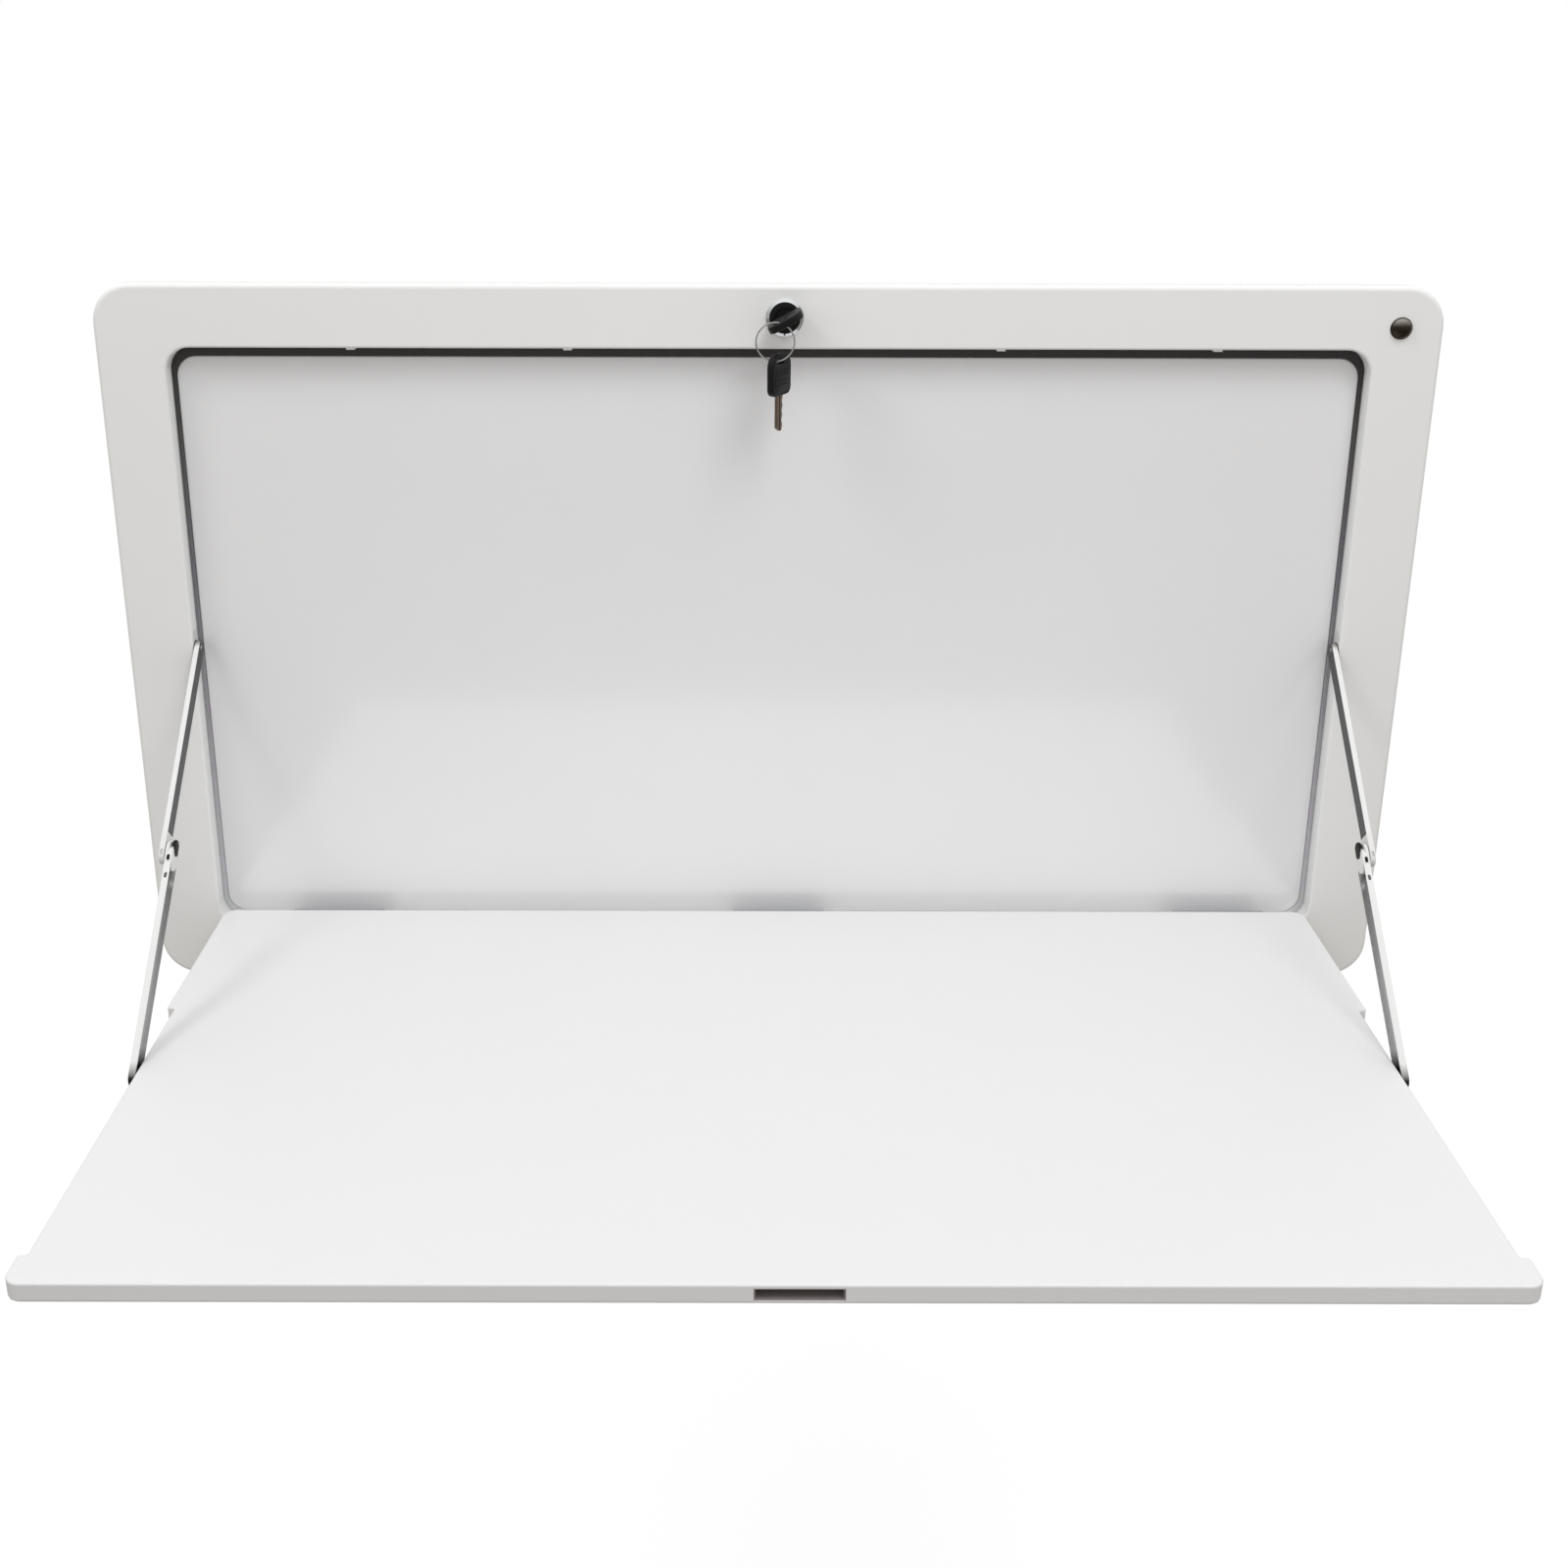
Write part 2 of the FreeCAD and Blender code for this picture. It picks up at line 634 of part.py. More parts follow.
def make_surround():
    body = new_body("surround")
    pad(body, "y", "front_y", "0", lambda sk: rounded(
        sk, "-half_width", "half_width", "-half_height", "half_height", "frame_radius"))
    fillet(body, "edge_round", lies_at("y", "front_y"))
    cut(body, "y", "face_back_y", "overrun", lambda sk: rounded(
        sk, "-rim_half", "rim_half", "-rim_top", "rim_top", "frame_radius - rim_wall"))
    pad(body, "y", "face_back_y", "skirt_reach", lambda sk: rounded(
        sk, "-skirt_half", "skirt_half", "skirt_bottom", "skirt_top",
        "opening_radius + skirt_wall"))
    for low, high in (("skirt_top", "rim_top"), ("-rim_top", "skirt_bottom")):
        pad(body, "y", "face_back_y", "-rib_clear", lambda sk: draw_ribs_across(sk, low, high))
    for left, right in (("skirt_half", "rim_half"), ("-rim_half", "-skirt_half")):
        pad(body, "y", "face_back_y", "-rib_clear", lambda sk: draw_ribs_aside(sk, left, right))

    def draw_bosses(sketch):
        for across, up in PANEL_SPOTS:
            circle(sketch, across, up, "boss_radius")
    pad(body, "y", "face_back_y", "skirt_reach", draw_bosses)

    def draw_mount_bosses(sketch):
        for across in ("-mount_x", "mount_x"):
            for up in ("-mount_z", "mount_z"):
                circle(sketch, across, up, "mount_boss")
    pad(body, "y", "face_back_y", "0", draw_mount_bosses)

    cut(body, "y", "front_y - overrun", "skirt_reach + overrun", lambda sk: rounded(
        sk, "-opening_half", "opening_half", "opening_bottom", "opening_top", "opening_radius"))
    inner_lip = lies_at("y", "front_y")
    fillet(body, "lip_round", lambda edge: inner_lip(edge) and in_opening(edge))

    def draw_nibs(sketch):
        for step in (-2, -1, 1, 2):
            middle = "fittings_offset + (%s) * nib_pitch" % step
            rectangle(sketch, middle + " - nib_width / 2", middle + " + nib_width / 2",
                      "opening_top - nib_height", "opening_top + rib_wall / 2")
    pad(body, "y", "front_y + lip_round", "front_y + lip_round + nib_depth", draw_nibs)

    def draw_pilots(sketch):
        for across, up in PANEL_SPOTS:
            circle(sketch, across, up, "boss_pilot")
    cut(body, "y", "skirt_reach - panel_screw_length", "skirt_reach + overrun", draw_pilots)

    def draw_mount_pilots(sketch):
        for across in ("-mount_x", "mount_x"):
            for up in ("-mount_z", "mount_z"):
                circle(sketch, across, up, "mount_pilot")
    cut(body, "y", "-mount_depth", "overrun", draw_mount_pilots)

    def draw_face_holes(sketch):
        circle(sketch, "fittings_offset", "lock_z", "barrel_radius + barrel_clear")
        circle(sketch, "stud_x", "stud_z", "stud_shank + stud_hole_clear")
    cut(body, "y", "front_y - overrun", "face_back_y + overrun", draw_face_holes)

    # window for the cam in the top wall of the opening
    cut(body, "z", "opening_top - overrun", "skirt_top + overrun", lambda sk: rectangle(
        sk, "fittings_offset - cam_window_width / 2", "fittings_offset + cam_window_width / 2",
        "front_y + cam_tongue_depth - cam_window_margin",
        "front_y + cam_tongue_depth + cam_sheet + cam_window_margin"))

    # seats of the stay brackets in the side walls
    for side in SIDES.values():
        low, high = side_span(side, "opening_half - overrun", "opening_half + bracket_sheet")
        cut(body, "x", low, high, lambda sk: stadium(
            sk, "upper_pivot_y",
            "upper_pivot_z - bracket_length / 2 + bracket_width / 2",
            "upper_pivot_z + bracket_length / 2 - bracket_width / 2",
            "bracket_width / 2 + bracket_clear"))
        low, high = side_span(side, "opening_half + bracket_sheet - overrun",
                              "skirt_half + overrun")
        cut(body, "x", low, high, draw_wall_rivets)

    # rivet holes of the hinges in the bottom wall
    cut(body, "z", "skirt_bottom - overrun", "opening_bottom + overrun",
        lambda sk: draw_hinge_holes(sk, "hinge_plate_mid_y"))
    keep(body, "surround_frame")


def draw_wall_rivets(sketch):
    circle(sketch, "upper_pivot_y", "upper_pivot_z", "rivet_radius + pin_clear")
    for step in ("-bracket_rivet_pitch / 2", "bracket_rivet_pitch / 2"):
        circle(sketch, "upper_pivot_y", "upper_pivot_z + %s" % step,
               "bracket_screw_shank + pin_clear")


def in_opening(edge):
    box = edge.BoundBox
    half = value("opening_half") + value("overrun")
    return box.XMax < half and box.XMin > -half and box.ZMax < value("opening_top") + value("overrun")




def hinge_screw_places():
    places = []
    for hinge in spread(3, "hinge_pitch"):
        for step in spread(3, "hinge_screw_pitch"):
            places.append("fittings_offset + %s + %s" % (hinge, step))
    return places


def draw_hinge_holes(sketch, level_word):
    for across in hinge_screw_places():
        circle(sketch, across, level_word, "hinge_screw_shank + pin_clear")


make_surround()


# Panel: moulded pan that closes the recess from behind. Its middle stands a little
# proud of the ledge that carries the seal, and ribs stiffen its back.


def draw_panel(sketch, grow):
    """Outline of the raised middle, inside the seal."""
    rounded(sketch, "-panel_half - %s" % grow, "panel_half + %s" % grow,
            "panel_bottom - %s" % grow, "panel_top + %s" % grow,
            "opening_radius - seal_side + %s" % grow)


def draw_pan(sketch, inset):
    """The opening's outline, drawn in."""
    rounded(sketch, "-opening_half + (%s)" % inset, "opening_half - (%s)" % inset,
            "opening_bottom + (%s)" % inset, "opening_top - (%s)" % inset,
            "opening_radius - (%s)" % inset)


PANEL_RIB_SHARES_X = [-0.75, -0.5, -0.25, 0, 0.25, 0.5, 0.75]
PANEL_RIB_SHARES_Z = [-0.5, 0, 0.5]


def make_panel():
    body = new_body("panel")
    rear = "skirt_reach + panel_flange_wall"
    pad(body, "y", "ledge_y", rear, lambda sk: draw_pan(sk, "seal_inset"))
    pad(body, "y", "skirt_reach", rear, lambda sk: rounded(
        sk, "-skirt_half - panel_flange", "skirt_half + panel_flange",
        "skirt_bottom - panel_flange", "skirt_top + panel_flange",
        "opening_radius + panel_flange"))
    cut(body, "y", "ledge_y + panel_wall", rear + " + overrun",
        lambda sk: draw_pan(sk, "seal_inset + panel_wall"))
    pad(body, "y", "ledge_y - panel_rise", "ledge_y", lambda sk: draw_panel(sk, "0"))
    fillet(body, "panel_round", lies_at("y", "ledge_y - panel_rise"))
    back = "ledge_y + panel_wall"
    inset = "(seal_inset + panel_wall / 2)"
    for share in PANEL_RIB_SHARES_X:
        pad(body, "y", back, back + " + panel_rib", lambda sk: rectangle(
            sk, "opening_half * (%s) - rib_wall / 2" % share,
            "opening_half * (%s) + rib_wall / 2" % share,
            "opening_bottom + " + inset, "opening_top - " + inset))
    for share in PANEL_RIB_SHARES_Z:
        pad(body, "y", back, back + " + panel_rib", lambda sk: rectangle(
            sk, "-opening_half + " + inset, "opening_half - " + inset,
            "opening_top * (%s) - rib_wall / 2" % share,
            "opening_top * (%s) + rib_wall / 2" % share))

    def draw_holes(sketch):
        for across, up in PANEL_SPOTS:
            circle(sketch, across, up, "panel_screw_shank + barrel_clear")
    cut(body, "y", "skirt_reach - overrun", rear + " + overrun", draw_holes)
    keep(body, "back_panel")


make_panel()


def make_panel_screws():
    source = turned("panel_screw", [
        ("0", "-panel_screw_length + overrun"),
        ("panel_screw_shank", "-panel_screw_length + overrun"),
        ("panel_screw_shank", "panel_flange_wall"),
        ("panel_screw_head", "panel_flange_wall"),
        ("panel_screw_head * 0.8", "panel_flange_wall + panel_screw_cap * 0.7"),
        ("panel_screw_head * 0.4", "panel_flange_wall + panel_screw_cap"),
        ("0", "panel_flange_wall + panel_screw_cap")])
    spots = [((probe(across), value("skirt_reach"), probe(up)), POINT_IN)
             for across, up in PANEL_SPOTS]
    keep(copies("panel_screws", source, spots), "panel_screws")


make_panel_screws()


# Seal: black rubber ring that the closed leaf meets.


def make_seal():
    body = new_body("seal")
    pad(body, "y", "seal_front_y", "ledge_y", lambda sk: rounded(
        sk, "seal_inset - opening_half", "opening_half - seal_inset",
        "opening_bottom + seal_inset", "opening_top - seal_inset",
        "opening_radius - seal_inset"))
    cut(body, "y", "seal_front_y - overrun", "ledge_y + overrun", lambda sk: draw_panel(sk, "0"))
    keep(body, "door_seal")


make_seal()


# Leaf: moulded top shell, a core board and an under skin that is the door's outside.


def draw_leaf(sketch, inset, radius):
    rounded(sketch, "%s - leaf_half" % inset, "leaf_half - %s" % inset,
            "leaf_front_y + %s" % inset, "leaf_rear_y - %s" % inset, radius)


def cut_notches(body, inset, low, high):
    for side in SIDES.values():
        left, right = side_span(side, "notch_half - %s" % inset, "leaf_half + overrun")
        cut(body, "z", low, high, lambda sk: rectangle(
            sk, left, right, "notch_front_y - %s" % inset, "notch_rear_y + %s" % inset))


def make_leaf_shell():
    body = new_body("leaf_shell")
    pad(body, "z", "leaf_bottom_z", "leaf_top_z", lambda sk: draw_leaf(sk, "0", "leaf_radius"))
    cut_notches(body, "0", "leaf_bottom_z - overrun", "leaf_top_z + overrun")
    near = value("overrun") / 1000

    def notch_corner(edge):
        box = edge.BoundBox
        upright = box.ZLength > value("leaf_thickness") - near
        spot = max(abs(box.YMin - value("notch_rear_y")) < near,
                   abs(box.YMin - value("notch_front_y")) < near)
        return upright and spot
    fillet(body, "notch_radius", notch_corner)
    fillet(body, "leaf_edge_round", lies_at("z", "leaf_top_z"))
    fillet(body, "leaf_under_round", lies_at("z", "leaf_bottom_z"))
    cut(body, "z", "leaf_bottom_z - overrun", "leaf_top_z - leaf_skin",
        lambda sk: draw_leaf_inside(sk, "leaf_rim"))
    # mouth of the latch slot in the free edge
    cut(body, "y", "leaf_front_y - overrun", "leaf_front_y + leaf_rim + overrun",
        lambda sk: rectangle(sk, "strike_x - strike_width / 2 - strike_wall - strike_clear",
                             "strike_x + strike_width / 2 + strike_wall + strike_clear",
                             "strike_bottom_z - strike_wall - strike_clear",
                             "strike_top_z + strike_wall + strike_clear"))
    for side in SIDES.values():
        low, high = side_span(side, "notch_half - leaf_rim - overrun", "notch_half + overrun")
        cut(body, "x", low, high, lambda sk: circle(
            sk, "lower_pivot_y", "lower_pivot_z", "rivet_radius + rivet_clear"))
        cut(body, "x", low, high, draw_leaf_bracket_screws)
    cut(body, "y", "leaf_rear_y - leaf_rim - overrun", "leaf_rear_y + overrun",
        lambda sk: draw_hinge_holes(sk, "hinge_plate_mid_z"))
    keep(body, "leaf_top_shell")


def draw_leaf_inside(sketch, inset):
    """The leaf's outline drawn in by its rim, following the two side notches."""
    front = "leaf_front_y + (%s)" % inset
    rear = "leaf_rear_y - (%s)" % inset
    wide = "leaf_half - (%s)" % inset
    slim = "notch_half - (%s)" % inset
    ear = "notch_front_y - (%s)" % inset
    heel = "notch_rear_y + (%s)" % inset
    polygon(sketch, [
        ("-(%s)" % wide, front), (wide, front), (wide, ear), (slim, ear),
        (slim, heel), (wide, heel), (wide, rear), ("-(%s)" % wide, rear),
        ("-(%s)" % wide, heel), ("-(%s)" % slim, heel),
        ("-(%s)" % slim, ear), ("-(%s)" % wide, ear)])


def draw_leaf_bracket_screws(sketch):
    for step in ("-leaf_screw_pitch / 2", "leaf_screw_pitch / 2"):
        circle(sketch, "lower_pivot_y + %s" % step, "lower_pivot_z",
               "bracket_screw_shank + rivet_clear")


def make_leaf_core():
    body = new_body("leaf_core")
    pad(body, "z", "leaf_bottom_z + leaf_skin", "leaf_top_z - leaf_skin",
        lambda sk: draw_leaf_inside(sk, "leaf_rim + skin_gap"))
    cut(body, "z", "leaf_bottom_z + leaf_skin - overrun", "leaf_top_z - leaf_skin + overrun",
        lambda sk: rectangle(sk, "strike_x - strike_width / 2 - strike_wall - strike_clear",
                             "strike_x + strike_width / 2 + strike_wall + strike_clear",
                             "leaf_front_y", "leaf_front_y + strike_depth + strike_clear"))
    for side in SIDES.values():
        low, high = side_span(side, "notch_half - bracket_screw_length - overrun",
                              "notch_half + overrun")
        cut(body, "x", low, high, draw_leaf_bracket_screws)
        low, high = side_span(side, "notch_half - leaf_rim - rivet_cap - rivet_clear",
                              "notch_half")
        cut(body, "x", low, high, lambda sk: circle(
            sk, "lower_pivot_y", "lower_pivot_z", "rivet_head + rivet_clear"))
    cut(body, "y", "leaf_rear_y - hinge_screw_length - overrun", "leaf_rear_y + overrun",
        lambda sk: draw_hinge_holes(sk, "hinge_plate_mid_z"))
    keep(body, "leaf_core")


def make_leaf_skin():
    body = new_body("leaf_skin")
    pad(body, "z", "leaf_bottom_z", "leaf_bottom_z + leaf_skin",
        lambda sk: draw_leaf_inside(sk, "leaf_rim + skin_gap"))
    keep(body, "leaf_under_skin")


def make_strike():
    """Dark plastic liner of the latch slot."""
    body = new_body("strike")
    pad(body, "y", "leaf_front_y + leaf_edge_round / 2", "leaf_front_y + strike_depth",
        lambda sk: rectangle(sk, "strike_x - strike_width / 2 - strike_wall",
                             "strike_x + strike_width / 2 + strike_wall",
                             "strike_bottom_z - strike_wall", "strike_top_z + strike_wall"))
    cut(body, "y", "leaf_front_y - overrun", "leaf_front_y + strike_depth - strike_wall",
        lambda sk: rounded(sk, "strike_x - strike_width / 2", "strike_x + strike_width / 2",
                           "strike_bottom_z", "strike_top_z", "strike_wall"))
    keep(body, "latch_strike")


make_leaf_shell()
make_leaf_core()
make_leaf_skin()
make_strike()


# Hinges: five-knuckle butt hinges, the fixed flap on the opening's bottom wall and
# the moving flap on the leaf's rear edge.


def knuckle_span(middle, index):
    """Ends of one of five knuckles along the hinge."""
    start = "%s - hinge_width / 2 + hinge_width / 5 * %d" % (middle, index)
    return "%s + knuckle_gap / 2" % start, "%s + hinge_width / 5 - knuckle_gap / 2" % start


def make_hinge(word, middle):
    for moving in (False, True):
        body = new_body("hinge_%s_%s" % (word, "moving" if moving else "fixed"))
        wide = ("%s - hinge_width / 2 + knuckle_gap / 2" % middle,
                "%s + hinge_width / 2 - knuckle_gap / 2" % middle)

        def draw_flap(sketch):
            # seen along X: across is Y, up is Z
            if moving:
                rectangle(sketch, "hinge_y - knuckle_radius",
                          "hinge_y - knuckle_radius + hinge_sheet",
                          "hinge_z + hinge_flap_start", "hinge_z + hinge_flap")
            else:
                rectangle(sketch, "hinge_y + hinge_flap_start", "hinge_y + hinge_flap",
                          "hinge_z - knuckle_radius",
                          "hinge_z - knuckle_radius + hinge_sheet")
        pad(body, "x", wide[0], wide[1], draw_flap)
        for index in ((1, 3) if moving else (0, 2, 4)):
            low, high = knuckle_span(middle, index)
            pad(body, "x", low, high, lambda sk: circle(
                sk, "hinge_y", "hinge_z", "knuckle_radius"))

            def draw_web(sketch):
                if moving:
                    rectangle(sketch, "hinge_y - knuckle_radius",
                              "hinge_y - knuckle_radius + hinge_sheet",
                              "hinge_z", "hinge_z + hinge_flap_start + knuckle_gap")
                else:
                    rectangle(sketch, "hinge_y", "hinge_y + hinge_flap_start + knuckle_gap",
                              "hinge_z - knuckle_radius",
                              "hinge_z - knuckle_radius + hinge_sheet")
            pad(body, "x", low, high, draw_web)
        cut(body, "x", wide[0] + " - overrun", wide[1] + " + overrun", lambda sk: circle(
            sk, "hinge_y", "hinge_z", "pin_radius + pin_clear"))
        holes = ["%s + %s" % (middle, step) for step in spread(3, "hinge_screw_pitch")]

        def draw_holes(sketch):
            for across in holes:
                circle(sketch, across, "hinge_plate_mid_z" if moving else "hinge_plate_mid_y",
                       "hinge_screw_head + pin_clear")
        if moving:
            cut(body, "y", "hinge_y - knuckle_radius - overrun",
                "hinge_y - knuckle_radius + hinge_sheet + overrun", draw_holes)
        else:
            cut(body, "z", "hinge_z - knuckle_radius - overrun",
                "hinge_z - knuckle_radius + hinge_sheet + overrun", draw_holes)
        keep(body, "hinge_%s_%s_flap" % (word, "leaf" if moving else "frame"))
    pin = turned("hinge_%s_pin" % word, [
        ("0", "knuckle_gap / 2"), ("pin_radius", "knuckle_gap / 2"),
        ("pin_radius", "hinge_width - knuckle_gap / 2"), ("0", "hinge_width - knuckle_gap / 2")])
    place(pin, "%s - hinge_width / 2" % middle, "hinge_y", "hinge_z", POINT_RIGHT)
    keep(pin, "hinge_%s_pin" % word)


HINGES = {"left": "fittings_offset - hinge_pitch", "middle": "fittings_offset",
          "right": "fittings_offset + hinge_pitch"}
for hinge_word, hinge_middle in HINGES.items():
    make_hinge(hinge_word, hinge_middle)


def make_hinge_fasteners():
    rivet = turned("hinge_rivet", [
        ("0", "-hinge_rivet_length"),
        ("hinge_screw_head", "-hinge_rivet_length"),
        ("hinge_screw_head", "-skirt_wall"),
        ("hinge_screw_shank", "-skirt_wall"),
        ("hinge_screw_shank", "0"),
        ("hinge_screw_head", "0"),
        ("hinge_screw_head", "hinge_sheet"),
        ("0", "hinge_sheet")])
    spots = [((probe(across), value("hinge_plate_mid_y"), value("opening_bottom")), POINT_UP)
             for across in hinge_screw_places()]
    keep(copies("hinge_rivets", rivet, spots), "hinge_frame_rivets")
    screw = turned("hinge_screw", [
        ("0", "-hinge_screw_length"),
        ("hinge_screw_shank * 0.4", "-hinge_screw_length"),
        ("hinge_screw_shank", "-hinge_screw_length * 0.8"),
        ("hinge_screw_shank", "0"),
        ("hinge_screw_head", "0"),
        ("hinge_screw_head", "hinge_sheet"),
        ("0", "hinge_sheet")])
    spots = [((probe(across), value("leaf_rear_y"), value("hinge_plate_mid_z")), POINT_IN)
             for across in hinge_screw_places()]
    keep(copies("hinge_screws", screw, spots), "hinge_leaf_screws")


make_hinge_fasteners()


# Stays: on each side two pressed channel arms, an elbow rivet, and plates that carry
# the end pivots. The upper arm runs next to the wall, the lower one next to the leaf.


def channel(body, side, low, high, reach_low, reach_high, half_depth, opens_out):
    """A pressed channel with round ends: a stadium with one face hollowed out."""
    left, right = side_span(side, low, high)
    pad(body, "x", left, right, lambda sk: stadium(
        sk, "0", reach_low, reach_high, half_depth))
    if opens_out:
        hollow = side_span(side, "%s + arm_sheet" % low, "%s + overrun" % high)
    else:
        hollow = side_span(side, "%s - overrun" % low, "%s - arm_sheet" % high)
    cut(body, "x", hollow[0], hollow[1], lambda sk: stadium(
        sk, "0", reach_low, reach_high, "%s - arm_sheet" % half_depth))


def bore(body, side, low, high, up, radius):
    left, right = side_span(side, low, high)
    cut(body, "x", left, right, lambda sk: circle(sk, "0", up, radius))


def make_upper_arm(word, side):
    body = new_body("upper_arm_" + word)
    channel(body, side, "upper_arm_in", "upper_arm_out", "-upper_length", "0",
            "upper_arm_depth / 2", True)
    bore(body, side, "upper_arm_in - overrun", "upper_arm_out + overrun", "0",
         "rivet_radius + rivet_clear")
    # the channel ends where the knuckle clip starts
    low, high = side_span(side, "upper_arm_in - overrun", "upper_arm_out + overrun")
    cut(body, "x", low, high, lambda sk: rectangle(
        sk, "-upper_arm_depth", "upper_arm_depth",
        "-upper_length - upper_arm_depth", "clip_length - upper_length"))
    place(body, "0", "upper_pivot_y", "upper_pivot_z", FreeCAD.Rotation(X_AXIS, -STAY_ANGLE))
    keep(body, "%s_upper_arm" % word)


def make_lower_arm(word, side):
    body = new_body("lower_arm_" + word)
    channel(body, side, "lower_arm_in", "lower_arm_out", "0", "lower_length",
            "lower_arm_depth / 2", False)
    for up in ("0", "lower_length", "lower_length - dimple_reach"):
        bore(body, side, "lower_arm_in - overrun", "lower_arm_out + overrun", up,
             "rivet_radius + rivet_clear")
    edge_slot(body, side, "(lower_arm_in + lower_arm_out) / 2", "lower_arm_depth / 2",
              "lower_length - dimple_reach", "arm_sheet")
    place(body, "0", "lower_pivot_y", "lower_pivot_z", FreeCAD.Rotation(X_AXIS, -STAY_ANGLE))
    keep(body, "%s_lower_arm" % word)


def edge_slot(body, side, middle, depth, up, wall):
    """Small round-ended slot through the edge of a channel that looks at the room."""
    across = ("(%s)" if side > 0 else "-(%s)") % middle
    cut(body, "y", "-(%s) - overrun" % depth, "-(%s) + %s + overrun" % (depth, wall),
        lambda sk: stadium(sk, across, "%s - clip_slot / 2 + clip_slot_radius" % up,
                           "%s + clip_slot / 2 - clip_slot_radius" % up, "clip_slot_radius"))


def make_clip(word, side):
    """White knuckle clip: carries the elbow's bore and plugs into the upper arm."""
    body = new_body("clip_" + word)
    wide = "upper_arm_depth / 2 + clip_proud"
    low, high = side_span(side, "upper_arm_in", "upper_arm_out")
    pad(body, "x", low, high, lambda sk: stadium(
        sk, "0", "-upper_length", "clip_length - upper_length", wide))
    cut(body, "x", low + " - overrun", high + " + overrun", lambda sk: rectangle(
        sk, "-upper_arm_depth", "upper_arm_depth",
        "clip_length - upper_length", "clip_length - upper_length + upper_arm_depth"))
    low, high = side_span(side, "upper_arm_in + arm_sheet", "upper_arm_out + overrun")
    cut(body, "x", low, high, lambda sk: stadium(
        sk, "0", "-upper_length", "clip_length / 2 - upper_length", wide + " - clip_wall"))
    low, high = side_span(side, "upper_arm_in + arm_sheet", "upper_arm_out")
    half = "upper_arm_depth / 2 - arm_sheet - rivet_clear"
    pad(body, "x", low, high, lambda sk: rectangle(
        sk, "-(%s)" % half, half, "clip_length - upper_length",
        "clip_length + clip_tongue - upper_length"))
    bore(body, side, "upper_arm_in - overrun", "upper_arm_out + overrun", "-upper_length",
         "rivet_radius + rivet_clear")
    edge_slot(body, side, "(upper_arm_in + upper_arm_out) / 2", wide, "-upper_length",
              "clip_wall")
    place(body, "0", "upper_pivot_y", "upper_pivot_z", FreeCAD.Rotation(X_AXIS, -STAY_ANGLE))
    keep(body, "%s_elbow_clip" % word)


def make_pad(word, side):
    """Black nylon pad that caps the lower arm's end and keeps the arms apart."""
    body = new_body("pad_" + word)
    low, high = side_span(side, "lower_arm_in", "lower_arm_out")
    pad(body, "x", low, high, lambda sk: stadium(
        sk, "0", "lower_length + pad_start", "lower_length + arm_tail - pad_half", "pad_half"))
    cut(body, "x", low + " - overrun", high + " + overrun", lambda sk: circle(
        sk, "0", "lower_length", "lower_arm_depth / 2"))
    place(body, "0", "lower_pivot_y", "lower_pivot_z", FreeCAD.Rotation(X_AXIS, -STAY_ANGLE))
    keep(body, "%s_elbow_pad" % word)


def turned_across(name, side, profile, y, z):
    """A turned piece whose own Z axis points outwards on its side, heights from X = 0."""
    piece = turned(name, profile)
    place(piece, "0", y, z, POINT_RIGHT if side > 0 else POINT_LEFT)
    return piece


def make_upper_pivot(word, side):
    plate = new_body("frame_bracket_" + word)
    low, high = side_span(side, "opening_half", "opening_half + bracket_sheet")
    pad(plate, "x", low, high, lambda sk: stadium(
        sk, "upper_pivot_y",
        "upper_pivot_z - bracket_length / 2 + bracket_width / 2",
        "upper_pivot_z + bracket_length / 2 - bracket_width / 2",
        "bracket_width / 2"))
    cut(plate, "x", low + " - overrun", high + " + overrun", lambda sk: circle(
        sk, "upper_pivot_y", "upper_pivot_z", "rivet_radius + pin_clear"))

    def draw_rivets(sketch):
        for step in ("-bracket_rivet_pitch / 2", "bracket_rivet_pitch / 2"):
            circle(sketch, "upper_pivot_y", "upper_pivot_z + %s" % step,
                   "bracket_screw_head + pin_clear")
    cut(plate, "x", low + " - overrun", high + " + overrun", draw_rivets)
    keep(plate, "%s_frame_bracket" % word)
    rivet = turned_across("frame_pivot_" + word, side, [
        ("0", "upper_arm_in - rivet_cap"),
        ("rivet_head", "upper_arm_in - rivet_cap"),
        ("rivet_head", "upper_arm_in - rivet_clear"),
        ("rivet_radius", "upper_arm_in - rivet_clear"),
        ("rivet_radius", "skirt_half"),
        ("rivet_tail", "skirt_half"),
        ("rivet_tail", "skirt_half + rivet_cap"),
        ("0", "skirt_half + rivet_cap")], "upper_pivot_y", "upper_pivot_z")
    keep(rivet, "%s_upper_pivot" % word)


def make_lower_pivot(word, side):
    rivet = turned_across("leaf_pivot_" + word, side, [
        ("0", "notch_half - leaf_rim - rivet_cap"),
        ("rivet_head", "notch_half - leaf_rim - rivet_cap"),
        ("rivet_head", "notch_half - leaf_rim"),
        ("rivet_radius", "notch_half - leaf_rim"),
        ("rivet_radius", "lower_arm_out + rivet_clear"),
        ("rivet_head", "lower_arm_out + rivet_clear"),
        ("rivet_head", "lower_arm_out + rivet_cap"),
        ("0", "lower_arm_out + rivet_cap")], "lower_pivot_y", "lower_pivot_z")
    keep(rivet, "%s_lower_pivot" % word)


